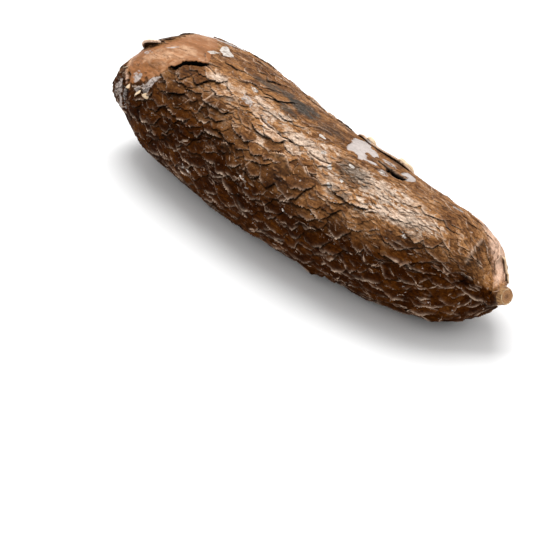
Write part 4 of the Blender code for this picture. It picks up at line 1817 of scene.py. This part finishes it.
@dataclass
class BackStrip:
    """A long strip of bark that has lifted on the back, with its splintered ends."""

    relief: BarkRelief
    strip: Ribbon = Ribbon(((21, 48), (34, 51), (48, 51.5), (60, 52.5), (69, 52)), 2.6, 2.4,
                           (-0.2, 0.9, 1.5, 2.0, 1.7), 0.8, ragged=0.8, steps=60, pale=0.5)
    lump: Ribbon = Ribbon(((61, 76.5), (66, 77.5), (71, 77.5)), 0.8, 0.8,
                          (-2.8, -1.5, -1.2, -2.4), 0.9, ragged=0.2, steps=20, pale=0.0)
    splinters: tuple[tuple[Place, ...], ...] = (
        ((54, 51), (60, 51.5), (67, 51)), ((29, 49), (33, 50), (37, 50.5)))

    def build(self, bark: Material, cream: Material) -> None:
        """Build the strip and its splinters.

        Args:
            bark: finish of the bark.
            cream: finish of pale inner wood.
        """
        random = np.random.default_rng(83)
        strip = ThinSheets(self.relief, 3.0)
        strip.ribbon(self.strip, random)
        strip.ribbon(self.lump, random, tone=0.6)
        strip.draft.finish("back_strip", bark)
        splinters = ThinSheets(self.relief, 3.0)
        for line in self.splinters:
            splinter = Ribbon(line, 1.5, 2.9, (0.4, 2.1, 3.5, 3.6, 2.6), 1.3, ragged=0.3, steps=26,
                              pale=0.1, ends=0.34)
            splinters.ribbon(splinter, random)
        splinters.draft.finish("splinters", cream)


@dataclass
class NeckFibres:
    """Pale fibres torn loose beside the stalk."""

    relief: BarkRelief
    fibres: tuple[tuple[Place, ...], ...] = (
        ((135, 30), (137, 20), (138.5, 8)), ((138, 8), (139, 358), (139, 348)))

    def build(self, cream: Material) -> None:
        """Build the fibres.

        Args:
            cream: finish of pale inner wood.
        """
        random = np.random.default_rng(97)
        sheets = ThinSheets(self.relief)
        for line in self.fibres:
            fibre = Ribbon(line, 1.2, 1.2, (-0.2, 1.3, 2.1, 1.7), 0.8, steps=20, pale=0.2)
            sheets.ribbon(fibre, random)
        sheets.draft.finish("neck_fibres", cream)


@dataclass
class StalkStub:
    """The cut end of the stalk: a fibrous side, a raised rim and a ringed cut face."""

    face: Array
    yaw: float = -2.0
    pitch: float = 14.0
    radius: float = 4.1
    segments: int = 96
    seed: int = 401
    offset: Sizes = (1.1, 1.2, 1.5)
    side: tuple[Place, ...] = (
        (-9.0, 0.3), (-9.0, 2.8), (-8.0, 2.5), (-6.6, 2.0), (-5.2, 1.55), (-4.0, 1.2), (-3.0, 0.95),
        (-2.1, 0.75), (-1.3, 0.60), (-0.7, 0.45), (-0.25, 0.22), (0.0, 0.02), (0.06, -0.22))
    cut: tuple[Place, ...] = (
        (0.02, 0.95), (-0.12, 0.88), (-0.20, 0.78), (-0.13, 0.67), (-0.22, 0.56), (-0.15, 0.45),
        (-0.24, 0.34), (-0.18, 0.24), (-0.34, 0.15), (-0.45, 0.07))

    def build(self, finish: Material) -> None:
        """Build the stalk as one closed mesh.

        Args:
            finish: its finish.
        """
        turn, lift = math.radians(self.yaw), math.radians(self.pitch)
        level = math.cos(lift)
        ahead = np.array([math.cos(turn) * level, math.sin(turn) * level, math.sin(lift)])
        left = unit(np.cross([0.0, 0.0, 1.0], ahead))
        up = np.cross(ahead, left)
        middle = self.face + np.array(self.offset)
        angle = np.linspace(0.0, 2.0 * math.pi, self.segments, endpoint=False)
        ring = np.cos(angle)[:, None] * left + np.sin(angle)[:, None] * up
        lattice = Lattice(self.seed)
        rings, face, reach_map = [], [], []
        for place, extra in self.side:
            points = middle + ahead * place + ring * (self.radius + extra)
            rough = 0.26 * lattice.layered(points * np.array([0.25, 1.0, 1.0]), (1.3, 1.3, 1.3), 2)
            rings.append(points + ring * rough[:, None])
            face.append(float(place > -0.2))
            reach_map.append(self.radius + extra)
        rings[0] = middle + ahead * self.side[0][0] + ring * self.side[0][1]
        for place, share in self.cut:
            points = middle + ring * (self.radius * share)
            rough = 0.10 * lattice.layered(points * 1.7, (1.0, 1.0, 1.0), 2)
            rings.append(points + ahead * (place + rough)[:, None])
            face.append(1.0)
            reach_map.append(self.radius * share)
        self._close(np.array(rings), finish, np.array(face), np.array(reach_map))

    def _close(self, rings: Array, finish: Material, face: Array, reach: Array) -> None:
        """Join rings of points into a closed mesh.

        Args:
            rings: ring points from the back to the middle of the cut face, (n, segments, 3).
            finish: finish.
            face: 1 on rings of the cut face, 0 on the side.
            reach: radius of each ring.
        """
        count, segments = rings.shape[:2]
        number = np.arange(count * segments).reshape(count, segments)
        after = np.roll(number, -1, axis=1)
        body = np.stack([number[:-1], after[:-1], after[1:], number[1:]], axis=-1).reshape(-1, 4)
        back = np.full(segments, count * segments)
        front = back + 1
        faces = np.concatenate([body, np.stack([after[0], number[0], back, back], axis=-1),
                                np.stack([number[-1], after[-1], front, front], axis=-1)])
        poles = [rings[:1].mean(axis=1), rings[-1:].mean(axis=1)]
        corners = np.concatenate([rings.reshape(-1, 3), *poles])
        draft = MeshDraft()
        draft.add(corners, faces, face=np.concatenate([np.repeat(face, segments), [0.0, 1.0]]),
                  ring=np.concatenate([np.repeat(reach, segments), [0.0, 0.0]]))
        draft.finish("stalk_stub", finish)


@dataclass(frozen=True)
class StalkFinish:
    """Fibrous yellowish side and brown cut face with its rings and pale rim."""

    name: str = "stalk"
    fibre: Colour = (0.38, 0.20, 0.070)
    furrow: Colour = (0.12, 0.048, 0.013)
    heart: Colour = (0.19, 0.078, 0.024)
    wood: Colour = (0.43, 0.21, 0.078)
    rim: Colour = (0.66, 0.50, 0.30)
    rim_at: float = 3.45

    def make(self) -> Material:
        """Build the material.

        Returns:
            The material.
        """
        sheet = NodeSheet(self.name)
        cloud = sheet.noise(900.0, 4.0, 0.65)
        streak = sheet.noise(900.0, 4.0, 0.65, (0.14, 1.0, 1.0), 0.3)
        wavy = sheet.plus(sheet.map("ring"), sheet.swing(cloud, 3.0))
        bands = sheet.math("SINE", sheet.times(wavy, 7.0), 0.0)
        cut = sheet.mix(sheet.band(wavy, 0.4, 2.6), self.heart, self.wood)
        cut = sheet.mix(sheet.times(sheet.band(bands, -0.2, 1.0), 0.30), cut, self.heart)
        cut = sheet.mix(sheet.band(sheet.noise(1700.0, 3.0, 0.6), 0.48, 0.66), cut, self.heart)
        patchy = sheet.band(sheet.noise(260.0, 2.0), 0.40, 0.60)
        rim = sheet.times(sheet.band(wavy, self.rim_at, self.rim_at + 0.4), patchy)
        cut = sheet.mix(rim, cut, self.rim)
        side = sheet.mix(sheet.band(streak, 0.38, 0.60), self.furrow, self.fibre)
        side = sheet.mix(sheet.times(sheet.band(cloud, 0.5, 0.7), 0.45), side, self.furrow)
        rough = sheet.plus(0.55, sheet.times(cloud, 0.3), True)
        sheet.bump(sheet.plus(cloud, streak), 0.0006, 0.9)
        return sheet.finish({"Base Color": sheet.mix(sheet.map("face"), side, cut),
                             "Roughness": rough})


@dataclass
class Studio:
    """Camera, floor and soft light."""

    azimuth: float = 48.0
    elevation: float = 33.0
    distance: float = 1.2
    aim: Sizes = (0.0220, -0.0437, 0.0)
    lens: float = 144.7
    sensor: float = 36.0
    clip_end: float = 50.0
    floor_size: float = 14.0
    floor_level: float = -0.0002
    floor_tones: tuple[Colour, Colour] = ((0.88, 0.88, 0.88), (0.90, 0.90, 0.90))
    floor_rough: float = 0.6
    surroundings: float = 0.76
    lamps: tuple[tuple[str, Sizes, float, float], ...] = (
        ("key", (-0.45, 0.40, 1.5), 1.2, 25.5), ("fill", (0.9, -1.4, 1.6), 1.4, 4.0),
        ("back", (1.1, 1.3, 0.9), 1.2, 5.0))

    def build(self) -> None:
        """Set up the whole studio."""
        self.place_camera()
        self.lay_floor()
        self.hang_lights()

    def place_camera(self) -> None:
        """Place the camera and aim it."""
        turn, lift = math.radians(self.azimuth), math.radians(self.elevation)
        level = math.cos(lift)
        back = Vector((math.sin(turn) * level, -math.cos(turn) * level, math.sin(lift)))
        camera = bpy.data.objects.new("camera", bpy.data.cameras.new("camera"))
        camera.data.lens = self.lens
        camera.data.sensor_width = self.sensor
        camera.data.clip_end = self.clip_end
        camera.location = Vector(self.aim) + back * self.distance
        camera.rotation_euler = back.to_track_quat("Z", "Y").to_euler()
        bpy.context.scene.collection.objects.link(camera)
        bpy.context.scene.camera = camera

    def lay_floor(self) -> None:
        """Lay the pale floor."""
        sheet = NodeSheet("studio_floor")
        tone = sheet.mix(sheet.noise(2.0, 2.0), *self.floor_tones)
        mesh = bpy.data.meshes.new("floor")
        half, level = 0.5 * self.floor_size, self.floor_level
        mesh.from_pydata([(-half, -half, level), (half, -half, level), (half, half, level),
                          (-half, half, level)], [], [(0, 1, 2, 3)])
        mesh.materials.append(sheet.finish({"Base Color": tone, "Roughness": self.floor_rough}))
        floor = bpy.data.objects.new("floor", mesh)
        bpy.context.scene.collection.objects.link(floor)

    def hang_lights(self) -> None:
        """Hang the soft lights and set the pale surroundings."""
        world = bpy.data.worlds.new("studio")
        world.use_nodes = True
        background = world.node_tree.nodes["Background"]
        background.inputs["Color"].default_value = (1.0, 1.0, 1.0, 1.0)
        background.inputs["Strength"].default_value = self.surroundings
        bpy.context.scene.world = world
        for name, place, size, power in self.lamps:
            lamp = bpy.data.lights.new(name, "AREA")
            lamp.size = size
            lamp.energy = power
            item = bpy.data.objects.new(name, lamp)
            item.location = place
            item.rotation_euler = Vector(place).to_track_quat("Z", "Y").to_euler()
            bpy.context.scene.collection.objects.link(item)


def main() -> None:
    """Build the root and its studio."""
    logging.basicConfig(level=logging.INFO, format="%(name)s: %(message)s")
    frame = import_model()
    bpy.context.scene.view_settings.view_transform = "Standard"
    detail = 1.0
    surface = RootSurface(frame["nodes"]["cassava_root"], rows=int(RootSurface.rows * detail),
                          columns=int(RootSurface.columns * detail))
    relief = BarkRelief(surface)
    bark = BarkFinish().make()
    cream = WoodFinish().make()
    BarkSkin(relief).build(bark)
    LooseFlakes(relief).build(bark)
    CrownTears(relief).build(bark, cream)
    BackStrip(relief).build(bark, cream)
    NeckFibres(relief).build(cream)
    StalkStub(surface.stalk_face).build(StalkFinish().make())
    Studio().build()


if __name__ == "__main__":
    main()
